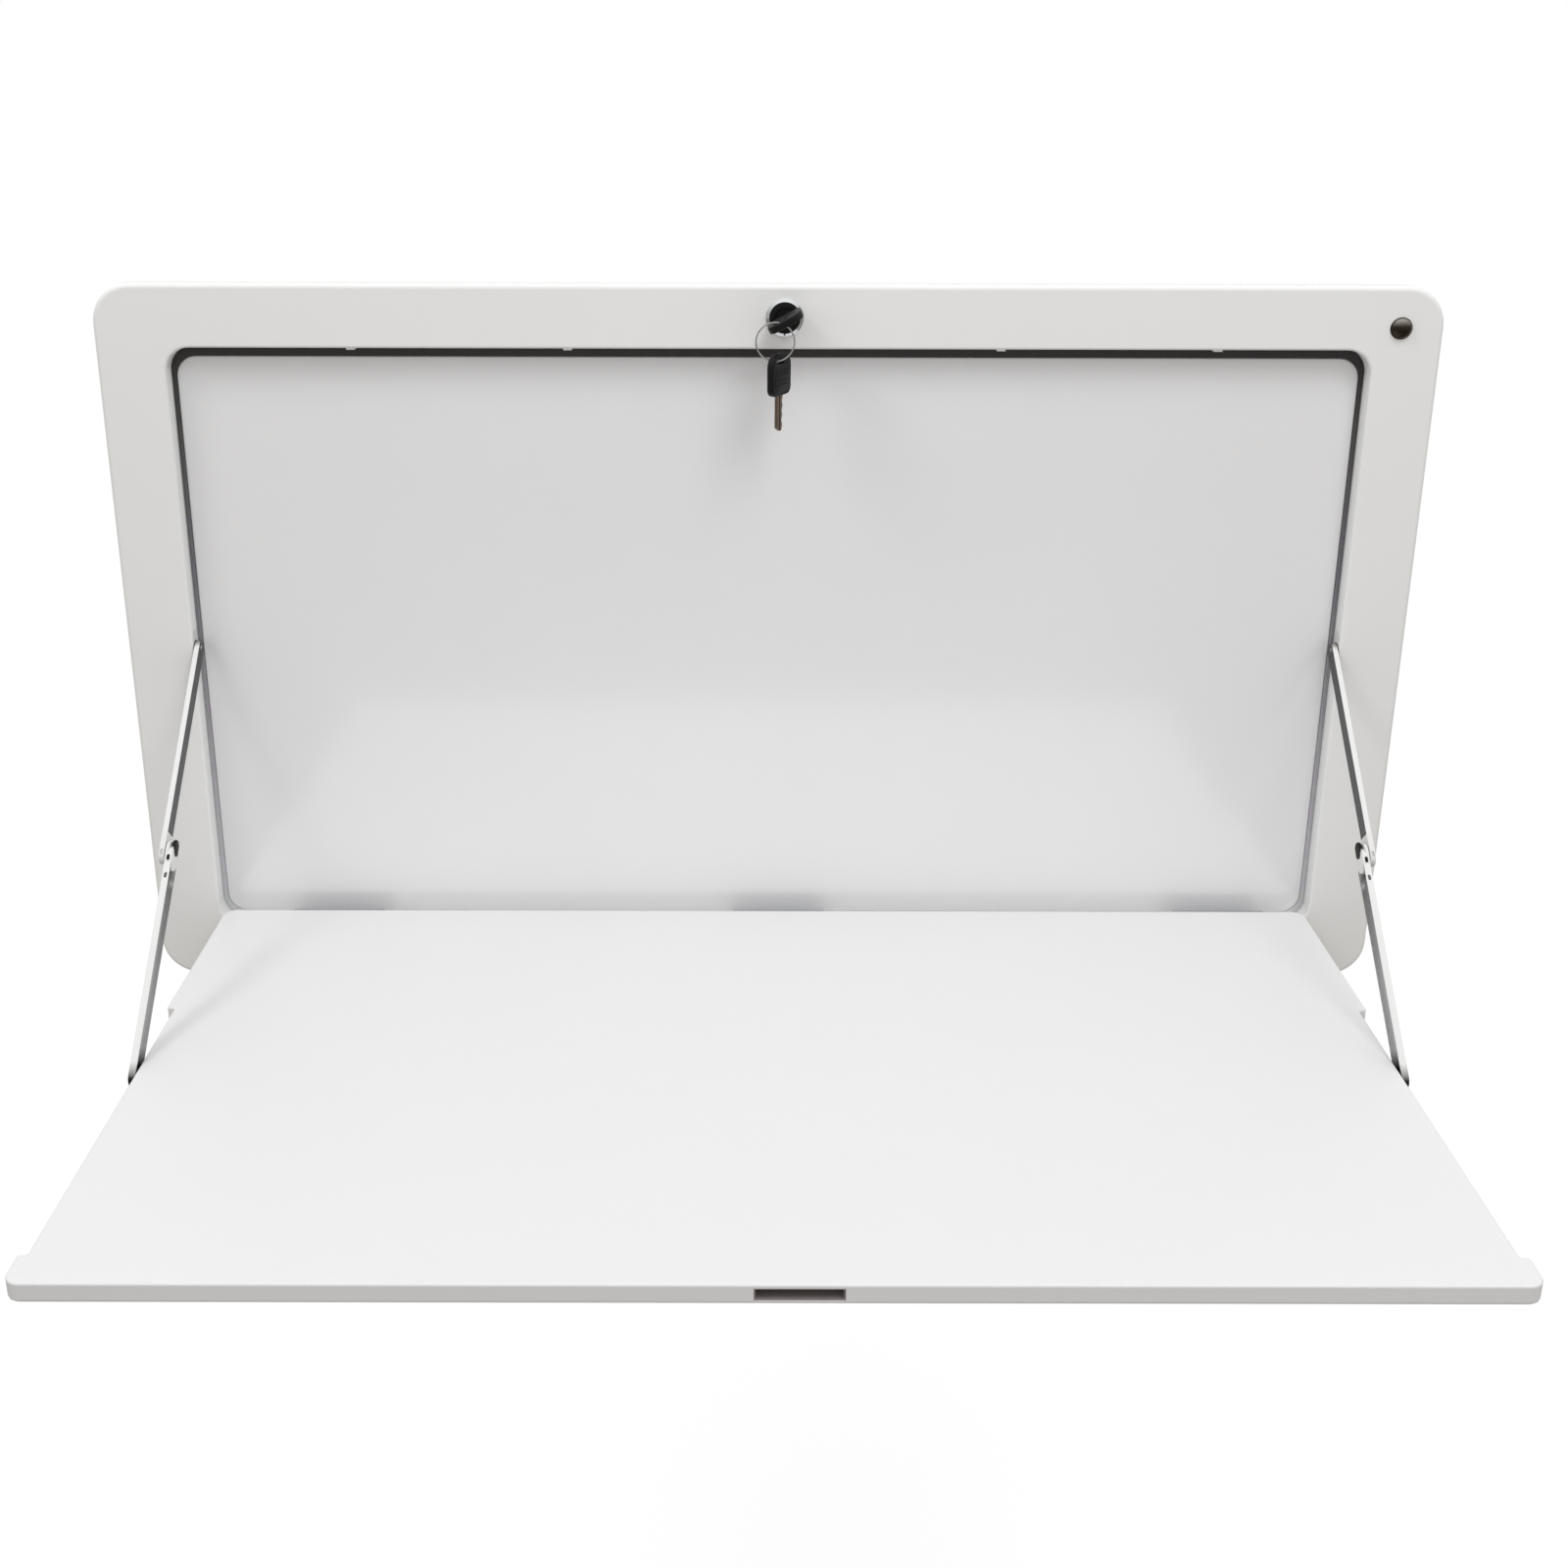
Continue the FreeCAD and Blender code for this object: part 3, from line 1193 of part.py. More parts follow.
def make_elbow(word, side):
    """The elbow rivet is in two halves that meet in the gap between the arms."""
    outer = turned_across("elbow_outer_" + word, side, [
        ("0", "elbow_split + rivet_split"),
        ("rivet_head", "elbow_split + rivet_split"),
        ("rivet_head", "upper_arm_in"),
        ("rivet_radius", "upper_arm_in"),
        ("rivet_radius", "upper_arm_in + arm_sheet"),
        ("rivet_head", "upper_arm_in + arm_sheet"),
        ("rivet_head", "upper_arm_in + arm_sheet + rivet_cap"),
        ("0", "upper_arm_in + arm_sheet + rivet_cap")], ELBOW_Y, ELBOW_Z)
    keep(outer, "%s_elbow_rivet_outer" % word)
    inner = turned_across("elbow_inner_" + word, side, [
        ("0", "lower_arm_out - arm_sheet - rivet_cap"),
        ("rivet_head", "lower_arm_out - arm_sheet - rivet_cap"),
        ("rivet_head", "lower_arm_out - arm_sheet"),
        ("rivet_radius", "lower_arm_out - arm_sheet"),
        ("rivet_radius", "lower_arm_out"),
        ("rivet_head", "lower_arm_out"),
        ("rivet_head", "elbow_split"),
        ("0", "elbow_split")], ELBOW_Y, ELBOW_Z)
    keep(inner, "%s_elbow_rivet_inner" % word)


ELBOW_Y = "upper_pivot_y - stay_run * upper_length / stay_span"
ELBOW_Z = "upper_pivot_z - stay_fall * upper_length / stay_span"
for side_word, side_sign in SIDES.items():
    make_upper_arm(side_word, side_sign)
    make_lower_arm(side_word, side_sign)
    make_clip(side_word, side_sign)
    make_pad(side_word, side_sign)
    make_upper_pivot(side_word, side_sign)
    make_lower_pivot(side_word, side_sign)
    make_elbow(side_word, side_sign)


def make_bracket_fasteners():
    rivet = turned("bracket_rivet", [
        ("0", "0"),
        ("bracket_screw_head", "0"),
        ("bracket_screw_head", "bracket_sheet"),
        ("bracket_screw_shank", "bracket_sheet"),
        ("bracket_screw_shank", "skirt_wall"),
        ("bracket_screw_head", "skirt_wall"),
        ("bracket_screw_head", "skirt_wall + rivet_cap"),
        ("0", "skirt_wall + rivet_cap")])
    spots = []
    for side in SIDES.values():
        for step in (-1, 1):
            z = value("upper_pivot_z") + step * value("bracket_rivet_pitch") / 2
            rotation = POINT_RIGHT if side > 0 else POINT_LEFT
            spots.append(((side * value("opening_half"), value("upper_pivot_y"), z), rotation))
    keep(copies("bracket_rivets", rivet, spots), "bracket_rivets")
    screw = turned("stay_screw", [
        ("0", "-bracket_screw_length"),
        ("bracket_screw_shank * 0.4", "-bracket_screw_length"),
        ("bracket_screw_shank", "-bracket_screw_length * 0.8"),
        ("bracket_screw_shank", "-rivet_clear"),
        ("0", "-rivet_clear")])
    spots = []
    for side in SIDES.values():
        for step in (-1, 1):
            y = value("lower_pivot_y") + step * value("leaf_screw_pitch") / 2
            rotation = POINT_RIGHT if side > 0 else POINT_LEFT
            spots.append(((side * value("notch_half"), y, value("lower_pivot_z")), rotation))
    keep(copies("stay_screws", screw, spots), "leaf_side_screws")


make_bracket_fasteners()


# Lock: cam lock through the top border, with a cranked cam that swings down into the
# slot of the closed leaf.


def make_lock():
    housing = turned("lock_housing", [
        ("plug_radius + plug_clear", "-barrel_length"),
        ("barrel_radius", "-barrel_length"),
        ("barrel_radius", "0"),
        ("bezel_radius", "0"),
        ("bezel_radius", "bezel_height * 0.35"),
        ("bezel_land", "bezel_height"),
        ("plug_radius + plug_clear + plug_proud", "bezel_height"),
        ("plug_radius + plug_clear", "bezel_height - plug_proud")])
    place(housing, "fittings_offset", "front_y", "lock_z", POINT_OUT)
    keep(housing, "lock_housing")

    nut = new_body("lock_nut")

    def draw_nut(sketch):
        corner = "nut_flats / 2 / cos(30deg)"
        points = []
        for turn in range(6):
            points.append(("fittings_offset + %s * cos(%ddeg)" % (corner, 60 * turn + 30),
                           "lock_z + %s * sin(%ddeg)" % (corner, 60 * turn + 30)))
        polygon(sketch, points)
    pad(nut, "y", "face_back_y", "face_back_y + nut_height", draw_nut)
    cut(nut, "y", "face_back_y - overrun", "face_back_y + nut_height + overrun",
        lambda sk: circle(sk, "fittings_offset", "lock_z", "barrel_radius + nut_clear"))
    keep(nut, "lock_nut")

    plug = turned("lock_plug", [
        ("0", "-barrel_length"),
        ("plug_radius", "-barrel_length"),
        ("plug_radius", "bezel_height - plug_proud"),
        ("plug_radius - plug_proud", "bezel_height"),
        ("0", "bezel_height")])
    # square tail for the cam, and the keyway, in the plug's own frame
    # the tail is square to the cam, so it is turned back by the keyhole's lean
    corner = "tail_square / 2 / cos(45deg)"
    pad(plug, "z", "-barrel_length - cam_clear - cam_sheet", "-barrel_length",
        lambda sk: polygon(sk, [
            ("%s * cos((%d - key_angle) * 1deg)" % (corner, turn),
             "%s * sin((%d - key_angle) * 1deg)" % (corner, turn))
            for turn in (45, 135, 225, 315)]))
    cut(plug, "z", "bezel_height + bow_gap - blade_length - keyway_clear",
        "bezel_height + overrun", lambda sk: rectangle(sk, "-blade_width / 2 - keyway_clear",
                             "blade_width / 2 + keyway_clear",
                             "-blade_sheet / 2 - keyway_clear",
                             "blade_sheet / 2 + keyway_clear"))
    tail_end = "-barrel_length - cam_clear - cam_sheet"
    cut(plug, "z", tail_end, tail_end + " + cam_screw_length + cam_screw_clear",
        lambda sk: circle(sk, "0", "0", "cam_screw_shank + blade_fit"))
    place(plug, "fittings_offset", "front_y", "lock_z", KEY_TURN)
    keep(plug, "lock_plug")


# The keyhole leans, so the plug and the key are turned about the lock's axis.
KEY_TURN = FreeCAD.Rotation(Y_AXIS, -value("key_angle")).multiply(POINT_OUT)


def make_cam():
    """Sheet bent twice: hub on the square tail, riser, and tongue behind the face."""
    body = new_body("cam")
    hub_low = "barrel_length + cam_clear"
    hub_high = "barrel_length + cam_clear + cam_sheet"
    tongue_low = "cam_tongue_depth"
    tongue_high = "cam_tongue_depth + cam_sheet"
    riser_in = "cam_riser"
    riser_out = "cam_riser + cam_sheet"

    def draw_profile(sketch):
        # across is the distance from the lock's axis, up is the depth behind the face
        polygon(sketch, [
            ("-cam_hub", hub_low), (riser_in, hub_low), (riser_in, tongue_low),
            ("cam_reach", tongue_low), ("cam_reach", tongue_high),
            (riser_out, tongue_high), (riser_out, hub_high), ("-cam_hub", hub_high)])
    pad(body, "y", "-cam_width / 2", "cam_width / 2", draw_profile)
    near = value("overrun") / 1000

    def bend(edge):
        box = edge.BoundBox
        along = box.YLength > value("cam_width") - near
        outer = abs(box.XMin - probe(riser_out)) < near and abs(box.ZMin - probe(hub_high)) < near
        inner = abs(box.XMin - probe(riser_in)) < near and abs(box.ZMin - probe(tongue_low)) < near
        return along and (outer or inner)
    fillet(body, "cam_bend", bend)

    def corner(edge):
        box = edge.BoundBox
        upright = box.ZLength > value("cam_sheet") - near and box.XLength < near
        tip = abs(box.XMin - value("cam_reach")) < near
        heel = abs(box.XMin + value("cam_hub")) < near
        return upright and (tip or heel)
    fillet(body, "cam_width / 4", corner)
    cut(body, "z", "barrel_length - overrun", hub_high + " + overrun",
        lambda sk: rectangle(sk, "-tail_square / 2 - blade_fit", "tail_square / 2 + blade_fit",
                             "-tail_square / 2 - blade_fit", "tail_square / 2 + blade_fit"))
    # its own X axis is laid to the left of the lock, its own Z axis into the wall
    place(body, "fittings_offset", "front_y", "lock_z", CAM_TURN)
    keep(body, "lock_cam")
    screw = turned("cam_screw", [
        ("0", "-cam_screw_length"),
        ("cam_screw_shank", "-cam_screw_length"),
        ("cam_screw_shank", "0"),
        ("cam_screw_radius", "0"),
        ("cam_screw_radius", "cam_screw_cap * 0.6"),
        ("cam_screw_radius * 0.6", "cam_screw_cap"),
        ("0", "cam_screw_cap")])
    place(screw, "fittings_offset", "cam_y + cam_sheet", "lock_z", POINT_IN)
    keep(screw, "cam_screw")


CAM_TURN = FreeCAD.Rotation(X_AXIS, -90).multiply(FreeCAD.Rotation(Z_AXIS, 180))


# Keys: flat blade moulded into a black bow. One is in the lock, the spare hangs on the
# split ring. In its own frame a key has its blade up Z, its width along X and its bow
# below Z = 0, with the bow's far end at the bottom.

BOW_SHARES = [(-0.5, 0.16), (-0.36, 0.0), (0.36, 0.0), (0.5, 0.16),
              (0.5, 0.74), (0.28, 1.0), (-0.28, 1.0), (-0.5, 0.74)]
BIT_SHARES = [(0.16, 0.22), (0.3, 0.05), (0.42, 0.26), (0.56, 0.1), (0.7, 0.3), (0.84, 0.12)]


def make_bow(name):
    body = new_body(name)

    def draw(sketch):
        polygon(sketch, [("bow_width * (%s)" % across, "-bow_length * (1 - (%s))" % along)
                         for across, along in BOW_SHARES])
    pad(body, "y", "-bow_thickness / 2", "bow_thickness / 2", draw)
    near = value("overrun") / 1000
    fillet(body, "bow_round * 2", lambda edge: edge.BoundBox.YLength > value("bow_thickness") - near)
    front = lies_at("y", "-bow_thickness / 2")
    back = lies_at("y", "bow_thickness / 2")
    fillet(body, "bow_round", lambda edge: front(edge) or back(edge))
    # long hole for the ring, across the bow near its far end
    def draw_slot(sketch):
        left = "-bow_slot_side - bow_slot_half"
        right = "-bow_slot_side + bow_slot_half"
        up = "-bow_length + bow_slot_drop"
        rounded(sketch, left + " - bow_slot_radius", right + " + bow_slot_radius",
                up + " - bow_slot_radius", up + " + bow_slot_radius",
                "bow_slot_radius * 0.95")
    cut(body, "y", "-bow_thickness / 2 - overrun", "bow_thickness / 2 + overrun", draw_slot)
    # socket for the root of the blade
    cut(body, "z", "-blade_root - blade_fit", "overrun", lambda sk: rectangle(
        sk, "-blade_width / 2 - blade_fit", "blade_width / 2 + blade_fit",
        "-blade_sheet / 2 - blade_fit", "blade_sheet / 2 + blade_fit"))
    return body


def make_blade(name):
    body = new_body(name)

    def draw(sketch):
        half = "blade_width / 2"
        points = [("-%s" % half, "-blade_root"), (half, "-blade_root"), (half, "0")]
        for along, deep in BIT_SHARES:
            points.append(("%s - blade_width * (%s)" % (half, deep), "blade_length * (%s)" % along))
        points += [("blade_width * 0.2", "blade_length"), ("-blade_width * 0.1", "blade_length"),
                   ("-%s" % half, "blade_length * 0.9")]
        polygon(sketch, points)
    pad(body, "y", "-blade_sheet / 2", "blade_sheet / 2", draw)
    for low, high in (("-blade_sheet / 2 - overrun", "groove_depth - blade_sheet / 2"),
                      ("blade_sheet / 2 - groove_depth", "blade_sheet / 2 + overrun")):
        cut(body, "y", low, high, lambda sk: rectangle(
            sk, "-groove_width", "0", "blade_fit", "blade_length + overrun"))
    return body


def make_keys():
    bow = make_bow("key_bow")
    place(bow, "fittings_offset", "bow_end_y", "lock_z", KEY_IN)
    keep(bow, "key_bow")
    blade = make_blade("key_blade")
    place(blade, "fittings_offset", "bow_end_y", "lock_z", KEY_IN)
    keep(blade, "key_blade")

    ring = doc.addObject("Part::Torus", "ring")
    ring.setExpression("Radius1", spell("ring_radius"))
    ring.setExpression("Radius2", spell("ring_wire"))
    place(ring, "ring_x", "ring_y", "ring_z", POINT_OUT)
    keep(ring, "key_ring")

    spare_bow = make_bow("spare_bow")
    spare_blade = make_blade("spare_blade")
    for piece, label in ((spare_bow, "spare_key_bow"), (spare_blade, "spare_key_blade")):
        place(piece, SPARE_X, SPARE_Y, SPARE_Z, SPARE_DOWN)
        keep(piece, label)


KEY_IN = FreeCAD.Rotation(Y_AXIS, -value("key_angle")).multiply(FreeCAD.Rotation(X_AXIS, -90))
SPARE_DOWN = FreeCAD.Rotation(Z_AXIS, value("spare_turn")).multiply(POINT_DOWN)

# The spare key hangs from the lowest point of the ring.
SPARE_X = "ring_x + spare_side * cos(spare_turn * 1deg)"
SPARE_Y = "ring_y + spare_side * sin(spare_turn * 1deg)"
SPARE_Z = "hang_z + bow_slot_drop - bow_length"

make_lock()
make_cam()
make_keys()


# Stud: domed rivet near the top right corner, held by a push washer behind the face.


def make_stud():
    stud = turned("stud", [
        ("0", "-stud_length"),
        ("stud_shank", "-stud_length"),
        ("stud_shank", "0"),
        ("stud_radius", "0"),
        ("stud_radius", "stud_height * 0.3"),
        ("stud_radius * 0.86", "stud_height * 0.68"),
        ("stud_radius * 0.55", "stud_height * 0.93"),
        ("0", "stud_height")])
    place(stud, "stud_x", "front_y", "stud_z", POINT_OUT)
    keep(stud, "corner_stud")
    washer = turned("stud_washer", [
        ("stud_shank + stud_hole_clear / 2", "0"),
        ("washer_radius", "0"),
        ("washer_radius", "washer_height * 0.6"),
        ("stud_shank + stud_hole_clear / 2", "washer_height")])
    place(washer, "stud_x", "face_back_y", "stud_z", POINT_IN)
    keep(washer, "stud_washer")


make_stud()
doc.recompute()

# Check every object, then write one file for each sub-part.
for item in doc.Objects:
    if "Invalid" in item.State or "Error" in item.State:
        raise RuntimeError("%s failed: %s" % (item.Name, item.State))
for item in PLACES:
    if item.Shape.isNull() or not item.Shape.isValid():
        raise RuntimeError("%s has a bad shape" % item.Label)
for item in PLACES:
    item.Shape.exportStep("parts/%s.step" % item.Label)
print("%d sub-parts written" % len(PLACES))
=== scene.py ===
import json
import math

import bmesh
import bpy
from mathutils import Matrix, Vector


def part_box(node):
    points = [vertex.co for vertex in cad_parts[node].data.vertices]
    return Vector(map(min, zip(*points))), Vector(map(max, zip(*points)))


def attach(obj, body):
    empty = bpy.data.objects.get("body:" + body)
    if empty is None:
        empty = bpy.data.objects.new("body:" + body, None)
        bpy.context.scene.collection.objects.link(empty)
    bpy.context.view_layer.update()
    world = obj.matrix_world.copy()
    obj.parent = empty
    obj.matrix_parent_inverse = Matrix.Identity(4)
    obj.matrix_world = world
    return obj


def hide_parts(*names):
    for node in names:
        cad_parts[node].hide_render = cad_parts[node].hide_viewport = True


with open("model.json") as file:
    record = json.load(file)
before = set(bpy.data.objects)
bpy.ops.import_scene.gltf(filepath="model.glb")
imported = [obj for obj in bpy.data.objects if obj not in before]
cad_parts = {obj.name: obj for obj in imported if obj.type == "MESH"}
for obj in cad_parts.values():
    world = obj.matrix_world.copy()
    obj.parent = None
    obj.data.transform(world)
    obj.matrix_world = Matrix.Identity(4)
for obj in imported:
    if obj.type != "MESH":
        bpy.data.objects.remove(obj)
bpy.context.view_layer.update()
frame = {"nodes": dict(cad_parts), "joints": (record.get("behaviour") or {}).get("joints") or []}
nodes = frame["nodes"]


# Surround: the white frame that lies on the wall, injection moulded in one piece from ABS.
# The mould gives its face a satin grain and its rim and lip their rounding. Bosses behind it
# take the screws that hold it to the wall.

NOISE_LOW, NOISE_HIGH = 0.3, 0.7        # a noise seldom leaves these bounds
ABS_IOR = 1.53


def linear(colour):
    """An sRGB hex colour as linear red, green, blue and alpha."""
    parts = [int(colour[i:i + 2], 16) / 255 for i in (1, 3, 5)]
    flat = [p / 12.92 if p <= 0.04045 else ((p + 0.055) / 1.055) ** 2.4 for p in parts]
    return (*flat, 1.0)


def add(material, kind, settings=(), links=()):
    """A shader node with its settings (attributes or socket values) and its links in.

    Numbered sockets of a Mix: 0 is the factor, 2 and 3 its numbers, 6 and 7 its colours.
    """
    node = material.node_tree.nodes.new(kind)
    for name, value in dict(settings).items():
        if isinstance(name, str) and hasattr(node, name):
            setattr(node, name, value)
        else:
            node.inputs[name].default_value = value
    for name, socket in dict(links).items():
        material.node_tree.links.new(socket, node.inputs[name])
    return node


def finish_with(material, *names):
    """Give CAD nodes this material."""
    for name in names:
        slots = nodes[name].data.materials
        slots.clear()
        slots.append(material)


def satin_abs(name, shade, dark_shade, grain_mm, grain_depth_mm, gloss, dull, specular=0.5):
    """Moulded plastic: shades that drift over 110 mm, dusty spots of 25 mm, a mould grain."""
    material = bpy.data.materials.new(name)
    material.use_nodes = True
    tree = material.node_tree
    surface = tree.nodes["Principled BSDF"]
    place = add(material, "ShaderNodeTexCoord")
    drift = add(material, "ShaderNodeTexNoise", {"Scale": 9.0, "Detail": 2.0},
                {"Vector": place.outputs["Object"]})
    tone = add(material, "ShaderNodeMix",
               {"data_type": "RGBA", 6: linear(dark_shade), 7: linear(shade)},
               {0: drift.outputs["Fac"]})
    tree.links.new(tone.outputs[2], surface.inputs["Base Color"])
    dust = add(material, "ShaderNodeTexNoise", {"Scale": 40.0, "Detail": 4.0},
               {"Vector": place.outputs["Object"]})
    rough = add(material, "ShaderNodeMapRange",
                {"From Min": NOISE_LOW, "From Max": NOISE_HIGH, "To Min": gloss,
                 "To Max": dull},
                {"Value": dust.outputs["Fac"]})
    tree.links.new(rough.outputs["Result"], surface.inputs["Roughness"])
    grain = add(material, "ShaderNodeTexNoise", {"Scale": 1000.0 / grain_mm, "Detail": 2.0},
                {"Vector": place.outputs["Object"]})
    relief = add(material, "ShaderNodeBump",
                 {"Strength": 1.0, "Distance": grain_depth_mm / 1000},
                 {"Height": grain.outputs["Fac"]})
    tree.links.new(relief.outputs["Normal"], surface.inputs["Normal"])
    surface.inputs["IOR"].default_value = ABS_IOR
    surface.inputs["Specular IOR Level"].default_value = specular
    return material


# ABS in signal white, grained by its mould: a soft, even white that mirrors nothing clearly.
# The grain is drawn at 1.2 mm, coarser than the real 0.3 mm, so that it shows.
surround_abs = satin_abs("surround_satin_abs", shade="#EEEEED", dark_shade="#EBEBEA",
                         grain_mm=1.2, grain_depth_mm=0.010, gloss=0.40, dull=0.44)
finish_with(surround_abs, "surround_frame")


# Back panel: the flat white sheet that shows through the opening, moulded from ABS in a
# polished mould with ribs on its back. Screws hold its flange from behind.

# Glossy ABS: it mirrors the leaf's rear edge and the hinges along its foot. A high IOR gives
# its skin the strength of that mirroring.
PANEL_SKIN_IOR = 1.9
panel_abs = satin_abs("panel_glossy_abs", shade="#EEEEEF", dark_shade="#EBEBEC",
                      grain_mm=2.0, grain_depth_mm=0.003, gloss=0.12, dull=0.15)
panel_abs.node_tree.nodes["Principled BSDF"].inputs["IOR"].default_value = PANEL_SKIN_IOR
finish_with(panel_abs, "back_panel")


# Seal: a ring of extruded black rubber that lies on the ledge round the panel, glued down.
# The closed leaf meets it. A thin bead runs along its outer side.

# EPDM rubber, dull. Its colour follows its height as painted shade and light: nearly black
# at the top, where the frame's lip shades it, and grey lower down as painted light from the
# pale surfaces around it. Its bloom comes in spots of about 6 mm.
SEAL_PAINTED_SHADES = ((0.0, "#CCCCCE"), (0.12, "#BABABD"), (0.35, "#A0A0A4"), (0.6, "#727176"),
               (0.85, "#4A4848"), (0.97, "#2E2B2A"))
SEAL_FOOT, SEAL_TOP = -0.191, 0.19      # the heights that those shades lie between
seal_rubber = bpy.data.materials.new("seal_extruded_rubber")
seal_rubber.use_nodes = True
rubber = seal_rubber.node_tree.nodes["Principled BSDF"]
spot = add(seal_rubber, "ShaderNodeTexCoord")
split = add(seal_rubber, "ShaderNodeSeparateXYZ", {}, {0: spot.outputs["Object"]})
painted_shading = add(seal_rubber, "ShaderNodeValToRGB")
for stop, shade in SEAL_PAINTED_SHADES:
    painted_shading.color_ramp.elements.new(stop).color = linear(shade)
painted_shading.color_ramp.elements.remove(painted_shading.color_ramp.elements[0])
painted_shading.color_ramp.elements.remove(painted_shading.color_ramp.elements[-1])
# painted shade and light: the seal's colour follows its height
height = add(seal_rubber, "ShaderNodeMapRange", {"From Min": SEAL_FOOT, "From Max": SEAL_TOP},
             {"Value": split.outputs["Z"]})
seal_rubber.node_tree.links.new(height.outputs["Result"], painted_shading.inputs["Fac"])
bloom = add(seal_rubber, "ShaderNodeTexNoise", {"Scale": 160.0, "Detail": 3.0},
            {"Vector": spot.outputs["Object"]})
rubber_tone = add(seal_rubber, "ShaderNodeMix",
                  {"data_type": "RGBA", "blend_type": "SOFT_LIGHT", 0: 0.25},
                  {6: painted_shading.outputs["Color"], 7: bloom.outputs["Color"]})
seal_rubber.node_tree.links.new(rubber_tone.outputs[2], rubber.inputs["Base Color"])
rubber.inputs["Roughness"].default_value = 0.6
rubber.inputs["IOR"].default_value = 1.52
finish_with(seal_rubber, "door_seal")

SHARP_FROM = math.radians(38)
DOUBLES = 1e-6


def finished(name, body, slot, material, grown, *stands_for):
    """Make the mesh a piece that rides a body: its rims are shaded smooth, its flats flat."""
    bmesh.ops.remove_doubles(grown, verts=grown.verts, dist=DOUBLES)
    bmesh.ops.recalc_face_normals(grown, faces=grown.faces)
    for face in grown.faces:
        face.smooth = len(face.verts) == 4
    mesh = bpy.data.meshes.new(name)
    grown.to_mesh(mesh)
    grown.free()
    mesh.set_sharp_from_angle(angle=SHARP_FROM)
    mesh.materials.append(material)
    piece = bpy.data.objects.new(name, mesh)
    bpy.context.scene.collection.objects.link(piece)
    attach(piece, body)
    if stands_for:
        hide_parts(*stands_for)


SEAL_BEND = 0.01475         # outer radius of the seal's corners
BEAD_INSET = 0.00165        # from the seal's outer side to the bead's middle
BEAD_SETBACK = 0.00038      # from the seal's front to the bead's middle
BEAD_RADIUS = 0.0006

bead = bmesh.new()
seal_low, seal_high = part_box("door_seal")
bead_y = seal_low.y + BEAD_SETBACK
bend_x, bend_top, bend_foot = (seal_high.x - SEAL_BEND, seal_high.z - SEAL_BEND,
                               seal_low.z + SEAL_BEND)
bends = [Vector((x, bead_y, z)) for x, z in ((bend_x, bend_top), (-bend_x, bend_top),
                                             (-bend_x, bend_foot), (bend_x, bend_foot))]
bead_start = bends[0] + Vector((SEAL_BEND - BEAD_INSET, 0.0, 0.0))
profile = bmesh.ops.create_circle(bead, segments=12, radius=BEAD_RADIUS,
                                  matrix=Matrix.Translation(bead_start))
loop = list({edge for vert in profile["verts"] for edge in vert.link_edges})
for bend, next_bend in zip(bends, bends[1:] + bends[:1]):
    swept = bmesh.ops.spin(bead, geom=loop, cent=bend, axis=(0.0, -1.0, 0.0),
                           angle=math.pi / 2, steps=8, use_merge=False)["geom_last"]
    loop = [part for part in swept if isinstance(part, bmesh.types.BMEdge)]
    run = bmesh.ops.extrude_edge_only(bead, edges=loop)["geom"]
    bmesh.ops.translate(bead, vec=next_bend - bend,
                        verts=[part for part in run if isinstance(part, bmesh.types.BMVert)])
    loop = [part for part in run if isinstance(part, bmesh.types.BMEdge)]
finished("seal_bead", "surround", "seal_rubber", seal_rubber, bead)


# Leaf: the table top. A moulded ABS shell and a bonded under skin enclose a plywood core,
# and a grey nylon strike lines the latch slot in its free edge.

# ABS from a smoother mould than the surround's: the cleanest white of the object, and a
# little glossier.
leaf_abs = satin_abs("leaf_table_abs", shade="#E8E8E8", dark_shade="#E6E6E6",
                     grain_mm=1.5, grain_depth_mm=0.004, gloss=0.34, dull=0.38)
finish_with(leaf_abs, "leaf_top_shell", "leaf_under_skin")

# Birch plywood, sanded: pale and darker brown plies, as streaks of 50 by 2.5 by 1.1 mm.
PLY_STREAKS = (20.0, 400.0, 900.0)
core_board = bpy.data.materials.new("core_plywood")
core_board.use_nodes = True
board = core_board.node_tree.nodes["Principled BSDF"]
spot = add(core_board, "ShaderNodeTexCoord")
stretch = add(core_board, "ShaderNodeMapping", {"Scale": PLY_STREAKS},
              {"Vector": spot.outputs["Object"]})
plies = add(core_board, "ShaderNodeTexNoise", {"Scale": 1.0, "Detail": 4.0},
            {"Vector": stretch.outputs["Vector"]})
ply_tone = add(core_board, "ShaderNodeMix",
               {"data_type": "RGBA", 6: linear("#A98558"), 7: linear("#D0B285")},
               {0: plies.outputs["Fac"]})
core_board.node_tree.links.new(ply_tone.outputs[2], board.inputs["Base Color"])
board.inputs["Roughness"].default_value = 0.7
finish_with(core_board, "leaf_core")

# Grey nylon, duller than the shell: the slot reads as a dark dash in the white edge.
strike_nylon = satin_abs("strike_grey_nylon", shade="#948B89", dark_shade="#877E7C",
                         grain_mm=0.8, grain_depth_mm=0.01, gloss=0.5, dull=0.6)
finish_with(strike_nylon, "latch_strike")


# Hinges: three butt hinges of stainless sheet, their knuckles rolled round a pin. One flap is
# riveted to the opening's bottom wall, the other is screwed to the leaf's rear edge.

